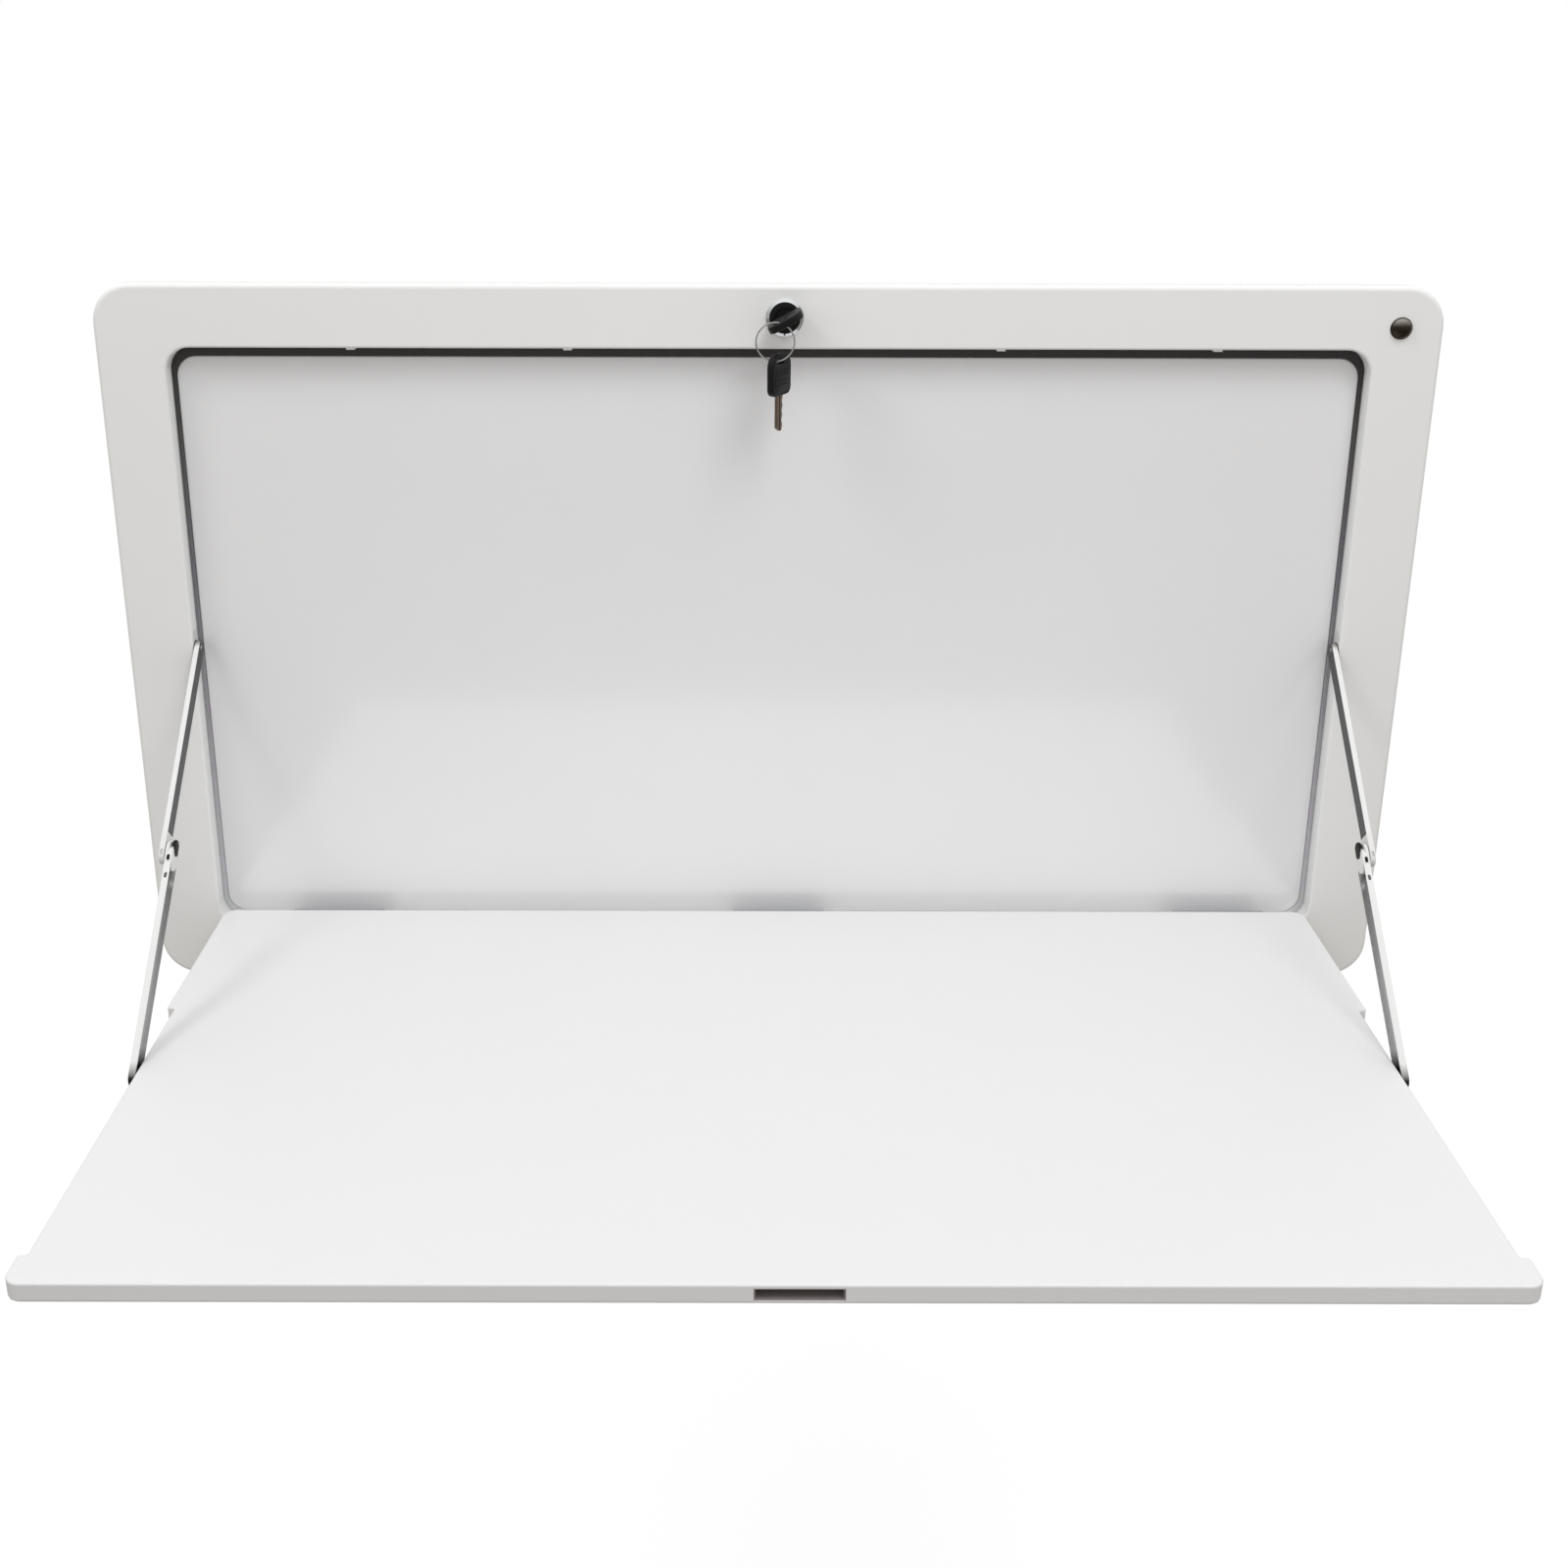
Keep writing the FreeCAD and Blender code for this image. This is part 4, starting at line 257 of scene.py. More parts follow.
def bright_steel(name, shade, dark_shade, smooth, rough, streaks):
    """Rolled or plated metal: streaks of two shades, smoother where they are dark."""
    material = bpy.data.materials.new(name)
    material.use_nodes = True
    tree = material.node_tree
    surface = tree.nodes["Principled BSDF"]
    place = add(material, "ShaderNodeTexCoord")
    rolled = add(material, "ShaderNodeMapping", {"Scale": streaks},
                 {"Vector": place.outputs["Object"]})
    lines = add(material, "ShaderNodeTexNoise", {"Scale": 1.0, "Detail": 5.0},
                {"Vector": rolled.outputs["Vector"]})
    tone = add(material, "ShaderNodeMix",
               {"data_type": "RGBA", 6: linear(dark_shade), 7: linear(shade)},
               {0: lines.outputs["Fac"]})
    tree.links.new(tone.outputs[2], surface.inputs["Base Color"])
    blur = add(material, "ShaderNodeMapRange",
               {"From Min": NOISE_LOW, "From Max": NOISE_HIGH, "To Min": smooth,
                "To Max": rough},
               {"Value": lines.outputs["Fac"]})
    tree.links.new(blur.outputs["Result"], surface.inputs["Roughness"])
    surface.inputs["Metallic"].default_value = 1.0
    return material


# Stainless sheet with rolling lines along the hinge, 1.1 mm apart and 17 mm long: a cool grey
# sheen.
hinge_steel = bright_steel("hinge_stainless_steel", shade="#B4B6B9", dark_shade="#9A9CA0",
                           smooth=0.28, rough=0.42, streaks=(60.0, 900.0, 900.0))
for side in ("left", "middle", "right"):
    finish_with(hinge_steel, *["hinge_%s_%s" % (side, part)
                               for part in ("frame_flap", "leaf_flap", "pin")])
finish_with(hinge_steel, "hinge_frame_rivets", "hinge_leaf_screws")


# Brackets: a steel plate a side in a pocket of the opening's wall, riveted there and powder
# coated white. The upper arm turns on its pivot.

# White powder paint with a light orange peel of 0.9 mm, a shade greyer than the surround.
bracket_paint = satin_abs("bracket_white_powder_paint", shade="#DADAD8", dark_shade="#D4D4D2",
                          grain_mm=0.9, grain_depth_mm=0.02, gloss=0.4, dull=0.5)
finish_with(bracket_paint, "left_frame_bracket", "right_frame_bracket", "bracket_rivets")


# Stays: two arms a side, pressed as channels from steel sheet and zinc plated. They are
# riveted together at the elbow and turn on pivots at the bracket and at the leaf.

# Bright zinc: the channel's edges shine nearly white. The flanks that look in to the table's
# middle are darkened as painted shade, less so lower down, and the foot turns near black over
# its lowest 7 mm.
ARM_X = 0.355                           # where the arms lie
LOOKS_IN, LOOKS_STRAIGHT_IN = 0.55, 0.95
FLANK_SHADE_TOP, FLANK_SHADE_FOOT = -0.09, -0.15
DARK_FOOT_TOP, DARK_FOOT_END = -0.1765, -0.1835
stay_zinc = bright_steel("stay_bright_zinc", shade="#E4E4E3", dark_shade="#DDDDDC",
                         smooth=0.32, rough=0.38, streaks=(30.0, 30.0, 30.0))
zinc = stay_zinc.node_tree.nodes["Principled BSDF"]
bright_tone = zinc.inputs["Base Color"].links[0].from_socket
facing = add(stay_zinc, "ShaderNodeTexCoord")
turned = add(stay_zinc, "ShaderNodeSeparateXYZ", {}, {0: facing.outputs["Normal"]})
along = add(stay_zinc, "ShaderNodeSeparateXYZ", {}, {0: facing.outputs["Object"]})
# negative where a face looks in to the table's middle
inwards = add(stay_zinc, "ShaderNodeMath", {"operation": "MULTIPLY"},
              {0: turned.outputs["X"], 1: along.outputs["X"]})
flank = add(stay_zinc, "ShaderNodeMapRange",
            {"From Min": -LOOKS_IN * ARM_X, "From Max": -LOOKS_STRAIGHT_IN * ARM_X},
            {"Value": inwards.outputs["Value"]})
shade_fade = add(stay_zinc, "ShaderNodeMapRange", {"From Min": FLANK_SHADE_TOP, "From Max": FLANK_SHADE_FOOT},
           {"Value": along.outputs["Z"]})
# painted shade on the flanks that look in, darkest at the top
flank_shade = add(stay_zinc, "ShaderNodeMix",
                  {"data_type": "RGBA", 6: linear("#4E4E50"), 7: linear("#C0C0C1")},
                  {0: shade_fade.outputs["Result"]})
flank_tone = add(stay_zinc, "ShaderNodeMix", {"data_type": "RGBA"},
                 {0: flank.outputs["Result"], 6: bright_tone, 7: flank_shade.outputs[2]})
# the stay turns near black over its lowest 7 mm
dark_foot = add(stay_zinc, "ShaderNodeMapRange",
              {"From Min": DARK_FOOT_TOP, "From Max": DARK_FOOT_END}, {"Value": along.outputs["Z"]})
foot_tone = add(stay_zinc, "ShaderNodeMix", {"data_type": "RGBA", 7: linear("#343332")},
                {0: dark_foot.outputs["Result"], 6: flank_tone.outputs[2]})
stay_zinc.node_tree.links.new(foot_tone.outputs[2], zinc.inputs["Base Color"])
for side in ("left", "right"):
    finish_with(stay_zinc, *[side + part for part in (
        "_upper_arm", "_lower_arm", "_upper_pivot", "_lower_pivot", "_elbow_rivet_outer",
        "_elbow_rivet_inner")])


# Stay fittings: at the elbow a white clip on the upper arm, a white knuckle pressed over the
# lower arm's end and a black pad on its inner side, all moulded from nylon. Black plugs in two
# slots of the arm's edge are painted shade that makes the slots read as dark holes, and a dark
# washer on each top pivot is painted shade for the shadow line round it.

# White nylon, a touch glossier than the bracket's paint.
clip_nylon = satin_abs("clip_white_nylon", shade="#E6E6E4", dark_shade="#DDDDDB",
                       grain_mm=0.8, grain_depth_mm=0.01, gloss=0.35, dull=0.45)
# Black nylon with a matt grain: it mirrors hardly anything and stays black in full light.
pad_nylon = satin_abs("pad_black_nylon", shade="#0E0E0F", dark_shade="#0A0A0B", grain_mm=0.8,
                      grain_depth_mm=0.01, gloss=0.5, dull=0.58, specular=0.25)
for side in ("left", "right"):
    finish_with(clip_nylon, side + "_elbow_clip")
    finish_with(pad_nylon, side + "_elbow_pad")
# Dark grey nylon as painted shade: the washer stands in for the thin shadow line
# round the pivot.
shade_line_nylon = satin_abs("washer_painted_shade_nylon", shade="#2A2929", dark_shade="#232222",
                         grain_mm=0.8, grain_depth_mm=0.006, gloss=0.45, dull=0.55)

# Millimetres. Runs go along the stay from its elbow, sides are distances from the table's
# middle, and a rim is the width of its bevel.
COVER_RUN, COVER_RADIUS, COVER_SIDES, COVER_RIM = (1.6, 4.2), 5.95, (350.85, 355.3), 0.7
LIP_RUN, LIP_RADIUS, LIP_SIDES, LIP_RIM = (-2.6, 4.0), 5.85, (353.4, 355.3), 0.5
PAD_RUN, PAD_RADIUS, PAD_SIDES, PAD_RIM = (-5.4, -2.6), 3.9, (350.6, 352.6), 0.6
PLUG_RUN, PLUG_RADIUS, PLUG_HEIGHT, PLUG_RIM = (-0.85, 0.85), 0.95, 1.0, 0.12
PLUG_MIDDLE, PLUG_FACES = 352.95, ((3.6, 6.06), (17.2, 5.42))       # along and out
WASHER_RADIUS, WASHER_SIDES, WASHER_RIM = 5.5, (359.14, 359.46), 0.1
TOP_PIVOT = -138.97         # along, where the upper arm turns
RIM_TURN = 1.0              # radians: edges that turn more than this are a plate's rim


def outline(arcs, steps=7):
    """Points of a convex outline, given as corner arcs (x, y, radius, from, to) in degrees."""
    return [(x + radius * math.cos(math.radians(start + (stop - start) * i / steps)),
             y + radius * math.sin(math.radians(start + (stop - start) * i / steps)))
            for x, y, radius, start, stop in arcs for i in range(steps + 1)]


def stadium(start, stop, radius):
    """Arcs of a slot's outline between two centres on the first axis."""
    return [(stop, 0.0, radius, -90, 90), (start, 0.0, radius, 90, 270)]


def disc(x, y, radius):
    """Arcs of a circle, each ended a step early, so that no point comes twice."""
    return [(x, y, radius, start, start + 78.75) for start in (0, 90, 180, 270)]


def rounded_plate(grown, arcs, low, high, rim, place, holes=()):
    """Add a plate with bevelled rims to a mesh: its outline is in arcs, its holes in points.

    It lies between two heights. place takes (x, y, height) in millimetres to the frame.
    """
    plate = bmesh.new()
    loops = []
    for points in (outline(arcs), *holes):
        verts = [plate.verts.new((x, y, low)) for x, y in points]
        loops.append([plate.edges.new((verts[i - 1], verts[i])) for i in range(len(verts))])
    if holes:
        bmesh.ops.triangle_fill(plate, use_beauty=True, edges=plate.edges[:])
    else:
        bmesh.ops.contextual_create(plate, geom=plate.edges[:])
    raised = bmesh.ops.extrude_face_region(plate, geom=plate.faces[:],
                                           use_keep_orig=True)["geom"]
    lifted = {part for part in raised if isinstance(part, bmesh.types.BMVert)}
    bmesh.ops.translate(plate, verts=list(lifted), vec=(0.0, 0.0, high - low))
    low_rim = loops[0]
    below = {vert for edge in low_rim for vert in edge.verts}
    above = {edge.other_vert(vert) for vert in below for edge in vert.link_edges} & lifted
    high_rim = [edge for edge in plate.edges if set(edge.verts) <= above
                and edge.is_manifold and edge.calc_face_angle() > RIM_TURN]
    bmesh.ops.bevel(plate, geom=low_rim + high_rim, offset=rim, segments=3, profile=0.5,
                    affect="EDGES", material=-1)
    for vert in plate.verts:
        vert.co = place(*vert.co)
    mesh = bpy.data.meshes.new("plate")
    plate.to_mesh(mesh)
    plate.free()
    grown.from_mesh(mesh)
    bpy.data.meshes.remove(mesh)


def middle(node):
    """The middle of a CAD node's box."""
    return sum(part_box(node), Vector()) / 2


def turning_point(name):
    """A point on a joint's axis."""
    return Vector(next(joint["pos_m"] for joint in frame["joints"] if joint["name"] == name))


def along_stay(side, sign):
    """Places along a stay from its elbow, out to the room's side, and across."""
    elbow = middle(side + "_elbow_rivet_outer")
    run = turning_point(side + "_lower_stay_turn") - elbow
    run.x = 0.0
    run.normalize()
    outwards = Vector((0.0, run.z, -run.y))

    def place(along, out, across):
        point = elbow + (run * along + outwards * out) / 1000
        point.x = sign * across / 1000
        return point
    return place


def in_slot(on_stay, along, out):
    """Places in a slot of the lower arm's edge, where a plug's face is this far out."""
    return lambda x, y, rise: on_stay(along + x, out - PLUG_HEIGHT + rise, PLUG_MIDDLE + y)


for side, sign in (("left", -1), ("right", 1)):
    on_stay = along_stay(side, sign)
    knuckle = bmesh.new()
    rounded_plate(knuckle, stadium(*LIP_RUN, LIP_RADIUS), *LIP_SIDES, LIP_RIM, on_stay)
    rounded_plate(knuckle, stadium(*COVER_RUN, COVER_RADIUS), *COVER_SIDES, COVER_RIM,
                  on_stay)
    finished(side + "_knuckle_cover", side + "_lower_stay", "clip_plastic", clip_nylon,
             knuckle)
    pad = bmesh.new()
    rounded_plate(pad, stadium(*PAD_RUN, PAD_RADIUS), *PAD_SIDES, PAD_RIM, on_stay)
    finished(side + "_knuckle_pad", side + "_lower_stay", "pad_nylon", pad_nylon, pad,
             side + "_elbow_pad")
    # black plugs as painted shade: they make the two slots read as dark holes
    shade_plugs = bmesh.new()
    for plug_along, plug_out in PLUG_FACES:
        rounded_plate(shade_plugs, stadium(*PLUG_RUN, PLUG_RADIUS), 0.0, PLUG_HEIGHT, PLUG_RIM,
                      in_slot(on_stay, plug_along, plug_out))
    finished(side + "_slot_shade_plugs", side + "_lower_stay", "pad_nylon", pad_nylon, shade_plugs)
    washer = bmesh.new()
    rounded_plate(washer, disc(TOP_PIVOT, 0.0, WASHER_RADIUS), *WASHER_SIDES, WASHER_RIM,
                  on_stay)
    finished(side + "_top_shade_washer", side + "_upper_stay", "pad_nylon", shade_line_nylon, washer)


# Lock: a cam lock with a turned, chromed brass housing, a blackened brass plug and a black
# face ring pressed into its front. A nut holds it behind the surround.

# Polished chrome: a near mirror, with faint marks of about 3 mm.
lock_chrome = bright_steel("lock_polished_chrome", shade="#DADCDE", dark_shade="#CACCCE",
                           smooth=0.06, rough=0.12, streaks=(300.0, 300.0, 300.0))
finish_with(lock_chrome, "lock_housing")
# Blackened brass: deep black and matt, so that only the bezel's rim shines.
plug_black = satin_abs("plug_blackened_brass", shade="#0A0A0A", dark_shade="#070707",
                       grain_mm=0.5, grain_depth_mm=0.005, gloss=0.42, dull=0.5, specular=0.25)
finish_with(plug_black, "lock_plug")

# Millimetres. The face ring stands a little before the bezel and ends inside it.
FACE_RADIUS, FACE_BORE, FACE_RIM = 9.3, 5.8, 0.3
FACE_RISE, FACE_DEPTH = 0.26, 0.8


def facing_room(x, y, depth):
    """Places across, up and back from the surround's middle."""
    return Vector((x, depth, y)) / 1000


lock = 1000 * middle("lock_housing")
bezel_y = 1000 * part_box("lock_housing")[0].y
face_ring = bmesh.new()
rounded_plate(face_ring, disc(lock.x, lock.z, FACE_RADIUS), bezel_y - FACE_RISE,
              bezel_y + FACE_DEPTH, FACE_RIM, facing_room,
              holes=[outline(disc(lock.x, lock.z, FACE_BORE))])
finished("lock_face_ring", "surround", "plug_brass", plug_black, face_ring)


# Keys: two blades milled from nickel plated brass strip, each with a black ABS bow moulded
# over its end. One key is in the lock, the other hangs from it on the ring.

# Black ABS, worn dull by hands: the bows are blacker than anything near them.
bow_black = satin_abs("key_bow_black_abs", shade="#060606", dark_shade="#040404",
                      grain_mm=0.7, grain_depth_mm=0.01, gloss=0.42, dull=0.52, specular=0.25)
finish_with(bow_black, "key_bow", "spare_key_bow")
# Worn nickel: the brass shows through it, as brown streaks 11 mm long down the blade.
blade_nickel = bright_steel("key_blade_worn_nickel", shade="#948678", dark_shade="#544B43",
                            smooth=0.3, rough=0.45, streaks=(500.0, 500.0, 90.0))
finish_with(blade_nickel, "key_blade", "spare_key_blade")

# Millimetres, across the bow and down from its blade end.
BOW = [(6.5, -4.6, 4.5, 0, 90), (-6.5, -4.6, 4.5, 90, 180),
       (-3.5, -17.0, 7.5, 180, 270), (3.5, -17.0, 7.5, 270, 360)]
RING_SLOT = [(1.5, -20.3, 1.3, -90, 90), (-5.9, -20.3, 1.3, 90, 270)]
GRIP = [(5.2, -5.4, 2.8, 0, 90), (-5.2, -5.4, 2.8, 90, 180),
        (-5.2, -12.8, 2.8, 180, 270), (5.2, -12.8, 2.8, 270, 360)]
RIBS, RIB_HALF, RIB_RADIUS = (-6.4, -9.1, -11.8), 4.6, 0.55
BOW_HALF, GRIP_HALF, RIBBED_HALF = 2.2, 2.5, 2.85       # thickness from the middle
BOW_RIM, GRIP_RIM = 0.9, 0.3
KEY_LEAN, SPARE_TURN = math.radians(29), math.radians(60)


def moulded_bow(name, body, place, node):
    """Key bow with a slot for the ring, a raised grip on both sides and three ribs on it."""
    bow = bmesh.new()
    rounded_plate(bow, BOW, -BOW_HALF, BOW_HALF, BOW_RIM, place, holes=[outline(RING_SLOT)])
    rounded_plate(bow, GRIP, -GRIP_HALF, GRIP_HALF, GRIP_RIM, place)
    for down in RIBS:
        rib = [(RIB_HALF, down, RIB_RADIUS, -90, 90), (-RIB_HALF, down, RIB_RADIUS, 90, 270)]
        rounded_plate(bow, rib, -RIBBED_HALF, RIBBED_HALF, GRIP_RIM, place)
    finished(name, body, "bow_plastic", bow_black, bow, node)


def in_lock(x, down, through):
    """Places on the bow that points into the room, its width leaning from level."""
    return Vector((lock.x + math.cos(KEY_LEAN) * x + math.sin(KEY_LEAN) * through,
                   bow_end_y + down,
                   lock.z + math.sin(KEY_LEAN) * x - math.cos(KEY_LEAN) * through)) / 1000


def on_ring(x, down, through):
    """Places on the spare's bow, which hangs upside down, its width turned to the wall."""
    return Vector((spare.x + math.cos(SPARE_TURN) * x + math.sin(SPARE_TURN) * through,
                   spare.y + math.sin(SPARE_TURN) * x - math.cos(SPARE_TURN) * through,
                   spare_end_z - down)) / 1000


bow_end_y = 1000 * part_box("key_bow")[1].y
spare = 1000 * middle("spare_key_bow")
spare_end_z = 1000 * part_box("spare_key_bow")[0].z
moulded_bow("moulded_key_bow", "key", in_lock, "key_bow")
moulded_bow("moulded_spare_bow", "spare_key", on_ring, "spare_key_bow")


# Key ring: spring wire wound into two coils that lie side by side, cut off at both ends. It
# goes through the slots of both bows.

# Nickel plated spring wire: bright grey, with soft highlights along the coils.
ring_nickel = bright_steel("ring_plated_spring_wire", shade="#B9B9B8", dark_shade="#9C9C9C",
                           smooth=0.25, rough=0.35, streaks=(300.0, 300.0, 300.0))
RING_RADIUS, WIRE_RADIUS = 0.0112, 0.00042
RING_WIDTH = 0.0017                     # between the middles of the wire's two ends
WIRE_START, WIRE_TURN, WIRE_STEPS = math.radians(60), math.radians(715), 130

coils = bmesh.new()
ring_middle = turning_point("spare_key_hang")
wire_end = ring_middle + Vector((RING_RADIUS, -RING_WIDTH / 2, 0.0))
wire = bmesh.ops.create_circle(coils, segments=10, radius=WIRE_RADIUS, cap_ends=True,
                               matrix=Matrix.Translation(wire_end))
bmesh.ops.rotate(coils, verts=wire["verts"], cent=ring_middle,
                 matrix=Matrix.Rotation(-WIRE_START, 3, "Y"))
bmesh.ops.spin(coils, geom=coils.faces[:], cent=ring_middle, axis=(0.0, -1.0, 0.0),
               dvec=(0.0, RING_WIDTH / WIRE_STEPS, 0.0), angle=WIRE_TURN, steps=WIRE_STEPS,
               use_merge=False)
finished("split_ring", "ring", "ring_steel", ring_nickel, coils, "key_ring")


# Stud: a press stud of darkened bronze in the top right corner, with a domed cap on a thin
# collar. A push washer holds it behind the face.

# Darkened bronze: brown and dark, with a painted highlight on the cap's faces that look up.
HIGHLIGHT_FROM, HIGHLIGHT_TO = 0.15, 0.75     # how far a face looks up
stud_bronze = bright_steel("stud_dark_bronze", shade="#4A4038", dark_shade="#2A231D",
                           smooth=0.22, rough=0.34, streaks=(500.0, 500.0, 500.0))
finish_with(stud_bronze, "corner_stud")
bronze = stud_bronze.node_tree.nodes["Principled BSDF"]
dark_bronze = bronze.inputs["Base Color"].links[0].from_socket
cap_place = add(stud_bronze, "ShaderNodeTexCoord")
cap_turned = add(stud_bronze, "ShaderNodeSeparateXYZ", {}, {0: cap_place.outputs["Normal"]})
# painted highlight: the more a face looks up, the paler grey it turns
painted_highlight = add(stud_bronze, "ShaderNodeMapRange",
             {"From Min": HIGHLIGHT_FROM, "From Max": HIGHLIGHT_TO},
             {"Value": cap_turned.outputs["Z"]})
cap_tone = add(stud_bronze, "ShaderNodeMix", {"data_type": "RGBA", 7: linear("#98948D")},
               {0: painted_highlight.outputs["Result"], 6: dark_bronze})
stud_bronze.node_tree.links.new(cap_tone.outputs[2], bronze.inputs["Base Color"])

CAP_RADIUS, CAP_HEIGHT = 0.0062, 0.0042
COLLAR_RADIUS, COLLAR_RISE, COLLAR_SINK, COLLAR_RIM = 6.6, 0.6, 0.1, 0.25   # millimetres

cap = bmesh.new()
cap_foot = middle("corner_stud")
cap_foot.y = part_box("surround_frame")[0].y
bmesh.ops.create_uvsphere(cap, u_segments=36, v_segments=18, radius=1.0,
                          matrix=Matrix.Translation(cap_foot)
                          @ Matrix.Diagonal((CAP_RADIUS, CAP_HEIGHT, CAP_RADIUS, 1.0))
                          @ Matrix.Rotation(math.pi / 2, 4, "X"))
bmesh.ops.bisect_plane(cap, geom=cap.verts[:] + cap.edges[:] + cap.faces[:], clear_outer=True,
                       plane_co=cap_foot, plane_no=(0.0, 1.0, 0.0))
bmesh.ops.contextual_create(cap, geom=[edge for edge in cap.edges if edge.is_boundary])
stud_x, face_y, stud_z = 1000 * cap_foot
rounded_plate(cap, disc(stud_x, stud_z, COLLAR_RADIUS), face_y - COLLAR_RISE,
              face_y + COLLAR_SINK, COLLAR_RIM, facing_room)
finished("stud_cap", "surround", "stud_metal", stud_bronze, cap)


# Screws: zinc plated steel with pan heads and cross recesses. Twelve hold the panel's flange
# to the surround's bosses and one the cam to the lock's plug. The leaf's side screws, the
# lock's nut and cam and the stud's washer have the same coat.

# Bright zinc, unworn: light grey, with a play of shades of about 2.5 mm.
screw_zinc = bright_steel("screw_bright_zinc", shade="#D2D2D1", dark_shade="#B9B9B8",
                          smooth=0.3, rough=0.4, streaks=(400.0, 400.0, 400.0))
finish_with(screw_zinc, "leaf_side_screws", "panel_screws", "cam_screw", "lock_nut",
            "lock_cam", "stud_washer")

# Millimetres, across and up from the surround's middle, and back from its face.
ROWS = [(x, z) for x in (-309.17, -107.85, 107.85, 309.17) for z in (195.5, -196.7)]
SIDE_PAIRS = [(x, z) for x in (-365.3, 365.3) for z in (-79.67, 79.67)]
PANEL_HEAD, PANEL_SHANK = (16.0, 18.0), 10.0
CAM_HEAD, CAM_SHANK = (13.65, 15.45), 4.0
HEAD_RADIUS, SHANK_RADIUS, SHANK_RIM = 3.4, 1.2, 0.1
RECESS_REACH, RECESS_HALF_WIDTH = 0.62, 0.17        # shares of the head's radius
HEAD_ROUNDING, SHANK_OVERLAP = 0.45, 0.35           # shares of the head's height


def cross_head(grown, place, low, high, shank):
    """Pan head with a cross recess, and its shank below it."""
    arm, slim = HEAD_RADIUS * RECESS_REACH, HEAD_RADIUS * RECESS_HALF_WIDTH
    cross = [(arm, -slim), (arm, slim), (slim, slim), (slim, arm), (-slim, arm), (-slim, slim),
             (-arm, slim), (-arm, -slim), (-slim, -slim), (-slim, -arm), (slim, -arm),
             (slim, -slim)]
    tall = high - low
    rounded_plate(grown, disc(0.0, 0.0, HEAD_RADIUS), low, high, tall * HEAD_ROUNDING, place,
                  holes=[cross])
    rounded_plate(grown, disc(0.0, 0.0, SHANK_RADIUS), low - shank,
                  low + tall * SHANK_OVERLAP, SHANK_RIM, place)


def about(across, up):
    """Places about a screw's axis, which runs from front to back."""
    return lambda x, y, depth: facing_room(across + x, up + y, depth)


heads = bmesh.new()
for across, up in ROWS + SIDE_PAIRS:
    cross_head(heads, about(across, up), *PANEL_HEAD, PANEL_SHANK)
finished("panel_screw_heads", "surround", "screw_steel", screw_zinc, heads, "panel_screws")
cam_head = bmesh.new()
cross_head(cam_head, about(lock.x, lock.z), *CAM_HEAD, CAM_SHANK)
finished("cam_screw_head", "lock_core", "screw_steel", screw_zinc, cam_head, "cam_screw")


# Floor: a wide sheet of matt white paper under the table. The camera sees it nearly white,
# and it throws a little warm grey light back up.

FLOOR_Z, FLOOR_HALF = -0.9, 6.0
GLOW, GLOW_SHARE = 1.15, 0.7            # only for the camera
sheet = bmesh.new()
bmesh.ops.create_grid(sheet, x_segments=1, y_segments=1, size=FLOOR_HALF)
bmesh.ops.translate(sheet, verts=sheet.verts, vec=(0.0, 0.0, FLOOR_Z))
floor_mesh = bpy.data.meshes.new("studio_floor")
sheet.to_mesh(floor_mesh)
sheet.free()
floor = bpy.data.objects.new("studio_floor", floor_mesh)
bpy.context.scene.collection.objects.link(floor)
floor_paper = bpy.data.materials.new("floor_white_paper")
floor_paper.use_nodes = True
paper = floor_paper.node_tree.nodes["Principled BSDF"]
paper.inputs["Roughness"].default_value = 0.9
seen = add(floor_paper, "ShaderNodeLightPath")
paper_tone = add(floor_paper, "ShaderNodeMix",
                 {"data_type": "RGBA", 6: linear("#ABA49D"), 7: linear("#F2F2F2")},
                 {0: seen.outputs["Is Camera Ray"]})
floor_paper.node_tree.links.new(paper_tone.outputs[2], paper.inputs["Base Color"])
glow = add(floor_paper, "ShaderNodeEmission", {"Strength": GLOW})
share = add(floor_paper, "ShaderNodeMath", {"operation": "MULTIPLY", 1: GLOW_SHARE},
            {0: seen.outputs["Is Camera Ray"]})
mixed = add(floor_paper, "ShaderNodeMixShader", {}, {
    0: share.outputs["Value"], 1: paper.outputs["BSDF"], 2: glow.outputs["Emission"]})
floor_paper.node_tree.links.new(
    mixed.outputs["Shader"], floor_paper.node_tree.nodes["Material Output"].inputs["Surface"])
floor_mesh.materials.append(floor_paper)


# Light: a white sky that is darker below, brighter overhead for what mirrors it and plain
# white for the camera. Two square softboxes hang above the room's side.

SOFTBOXES = (("softbox_left", (-1.1, -0.6, 1.45), 0.45, 6.8),
             ("softbox_right", (0.6, -0.95, 1.6), 0.8, 12.6))   # place, side, watts

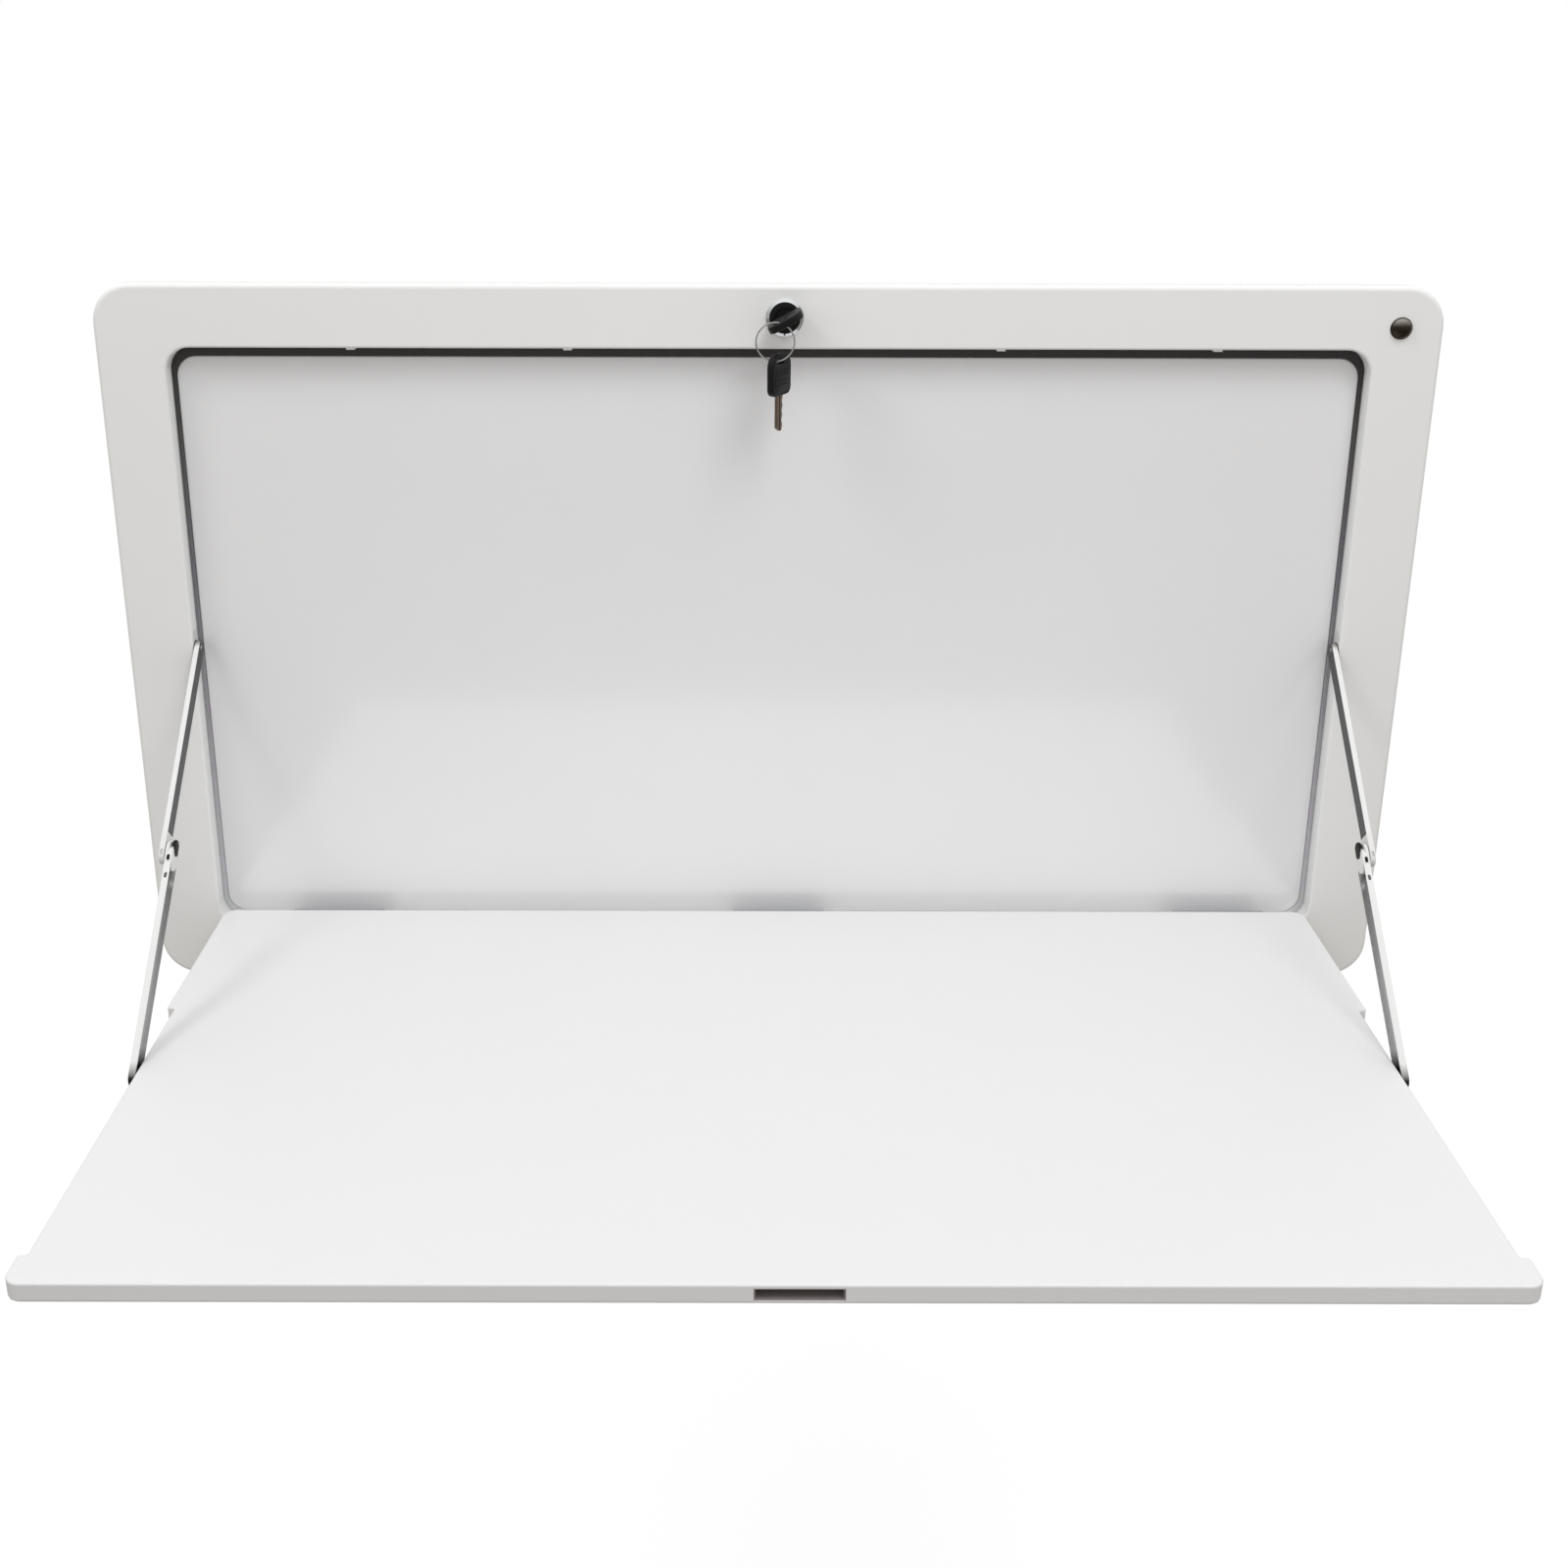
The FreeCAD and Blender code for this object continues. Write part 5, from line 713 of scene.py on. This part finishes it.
scene = bpy.context.scene
world = bpy.data.worlds.new("studio")
scene.world = world
world.use_nodes = True
sky = world.node_tree.nodes["Background"]
sky.inputs["Color"].default_value = (1.0, 1.0, 1.0, 1.0)
rays = add(world, "ShaderNodeLightPath")
around = add(world, "ShaderNodeTexCoord")
rise = add(world, "ShaderNodeSeparateXYZ", {}, {0: around.outputs["Generated"]})
ambient = add(world, "ShaderNodeMapRange",
              {"From Min": -0.3, "From Max": 0.1, "To Min": 0.35, "To Max": 0.70},
              {"Value": rise.outputs["Z"]})
overhead = add(world, "ShaderNodeMapRange",
               {"From Min": 0.1, "From Max": 0.9, "To Min": 0.55, "To Max": 1.25},
               {"Value": rise.outputs["Z"]})
mirrored = add(world, "ShaderNodeMix", {}, {
    0: rays.outputs["Is Glossy Ray"], 2: ambient.outputs["Result"],
    3: overhead.outputs["Result"]})
level = add(world, "ShaderNodeMix", {3: 1.0}, {
    0: rays.outputs["Is Camera Ray"], 2: mirrored.outputs[0]})
world.node_tree.links.new(level.outputs[0], sky.inputs["Strength"])

for name, place, width, watts in SOFTBOXES:
    softbox = bpy.data.lights.new(name, "AREA")
    softbox.shape = "SQUARE"
    softbox.size = width
    softbox.energy = watts
    lamp = bpy.data.objects.new(name, softbox)
    lamp.location = place
    lamp.rotation_euler = (-Vector(place)).to_track_quat("-Z", "Y").to_euler()
    lamp.visible_glossy = False
    scene.collection.objects.link(lamp)


# Camera: at the photograph's angle, above the table and in front of its middle. The shift
# puts what the lens looks at a little left of the picture's middle and above it, as there.

IMAGE_SIDE, SENSOR = 1600, 36.0                         # pixels, millimetres
FOCAL_LENGTH, AXIS_X, AXIS_Y = 1791.088, 756.348, 657.738       # pixels
CAMERA_PLACE = (-0.017087, -1.054279, 0.351904)
PAN, TILT, ROLL = -0.0013030, -0.3208118, -0.0026839

camera = bpy.data.cameras.new("camera")
camera.sensor_width = SENSOR
camera.lens = FOCAL_LENGTH / IMAGE_SIDE * SENSOR
camera.shift_x = (IMAGE_SIDE / 2 - AXIS_X) / IMAGE_SIDE
camera.shift_y = (AXIS_Y - IMAGE_SIDE / 2) / IMAGE_SIDE
camera.clip_start = 0.05
watcher = bpy.data.objects.new("camera", camera)
watcher.matrix_world = (
    Matrix.Translation(CAMERA_PLACE)
    @ Matrix.Rotation(PAN, 4, "Z") @ Matrix.Rotation(TILT, 4, "X")
    @ Matrix.Rotation(ROLL, 4, "Y") @ Matrix.Rotation(math.pi / 2, 4, "X"))
scene.collection.objects.link(watcher)
scene.camera = watcher
scene.view_settings.view_transform = "Standard"
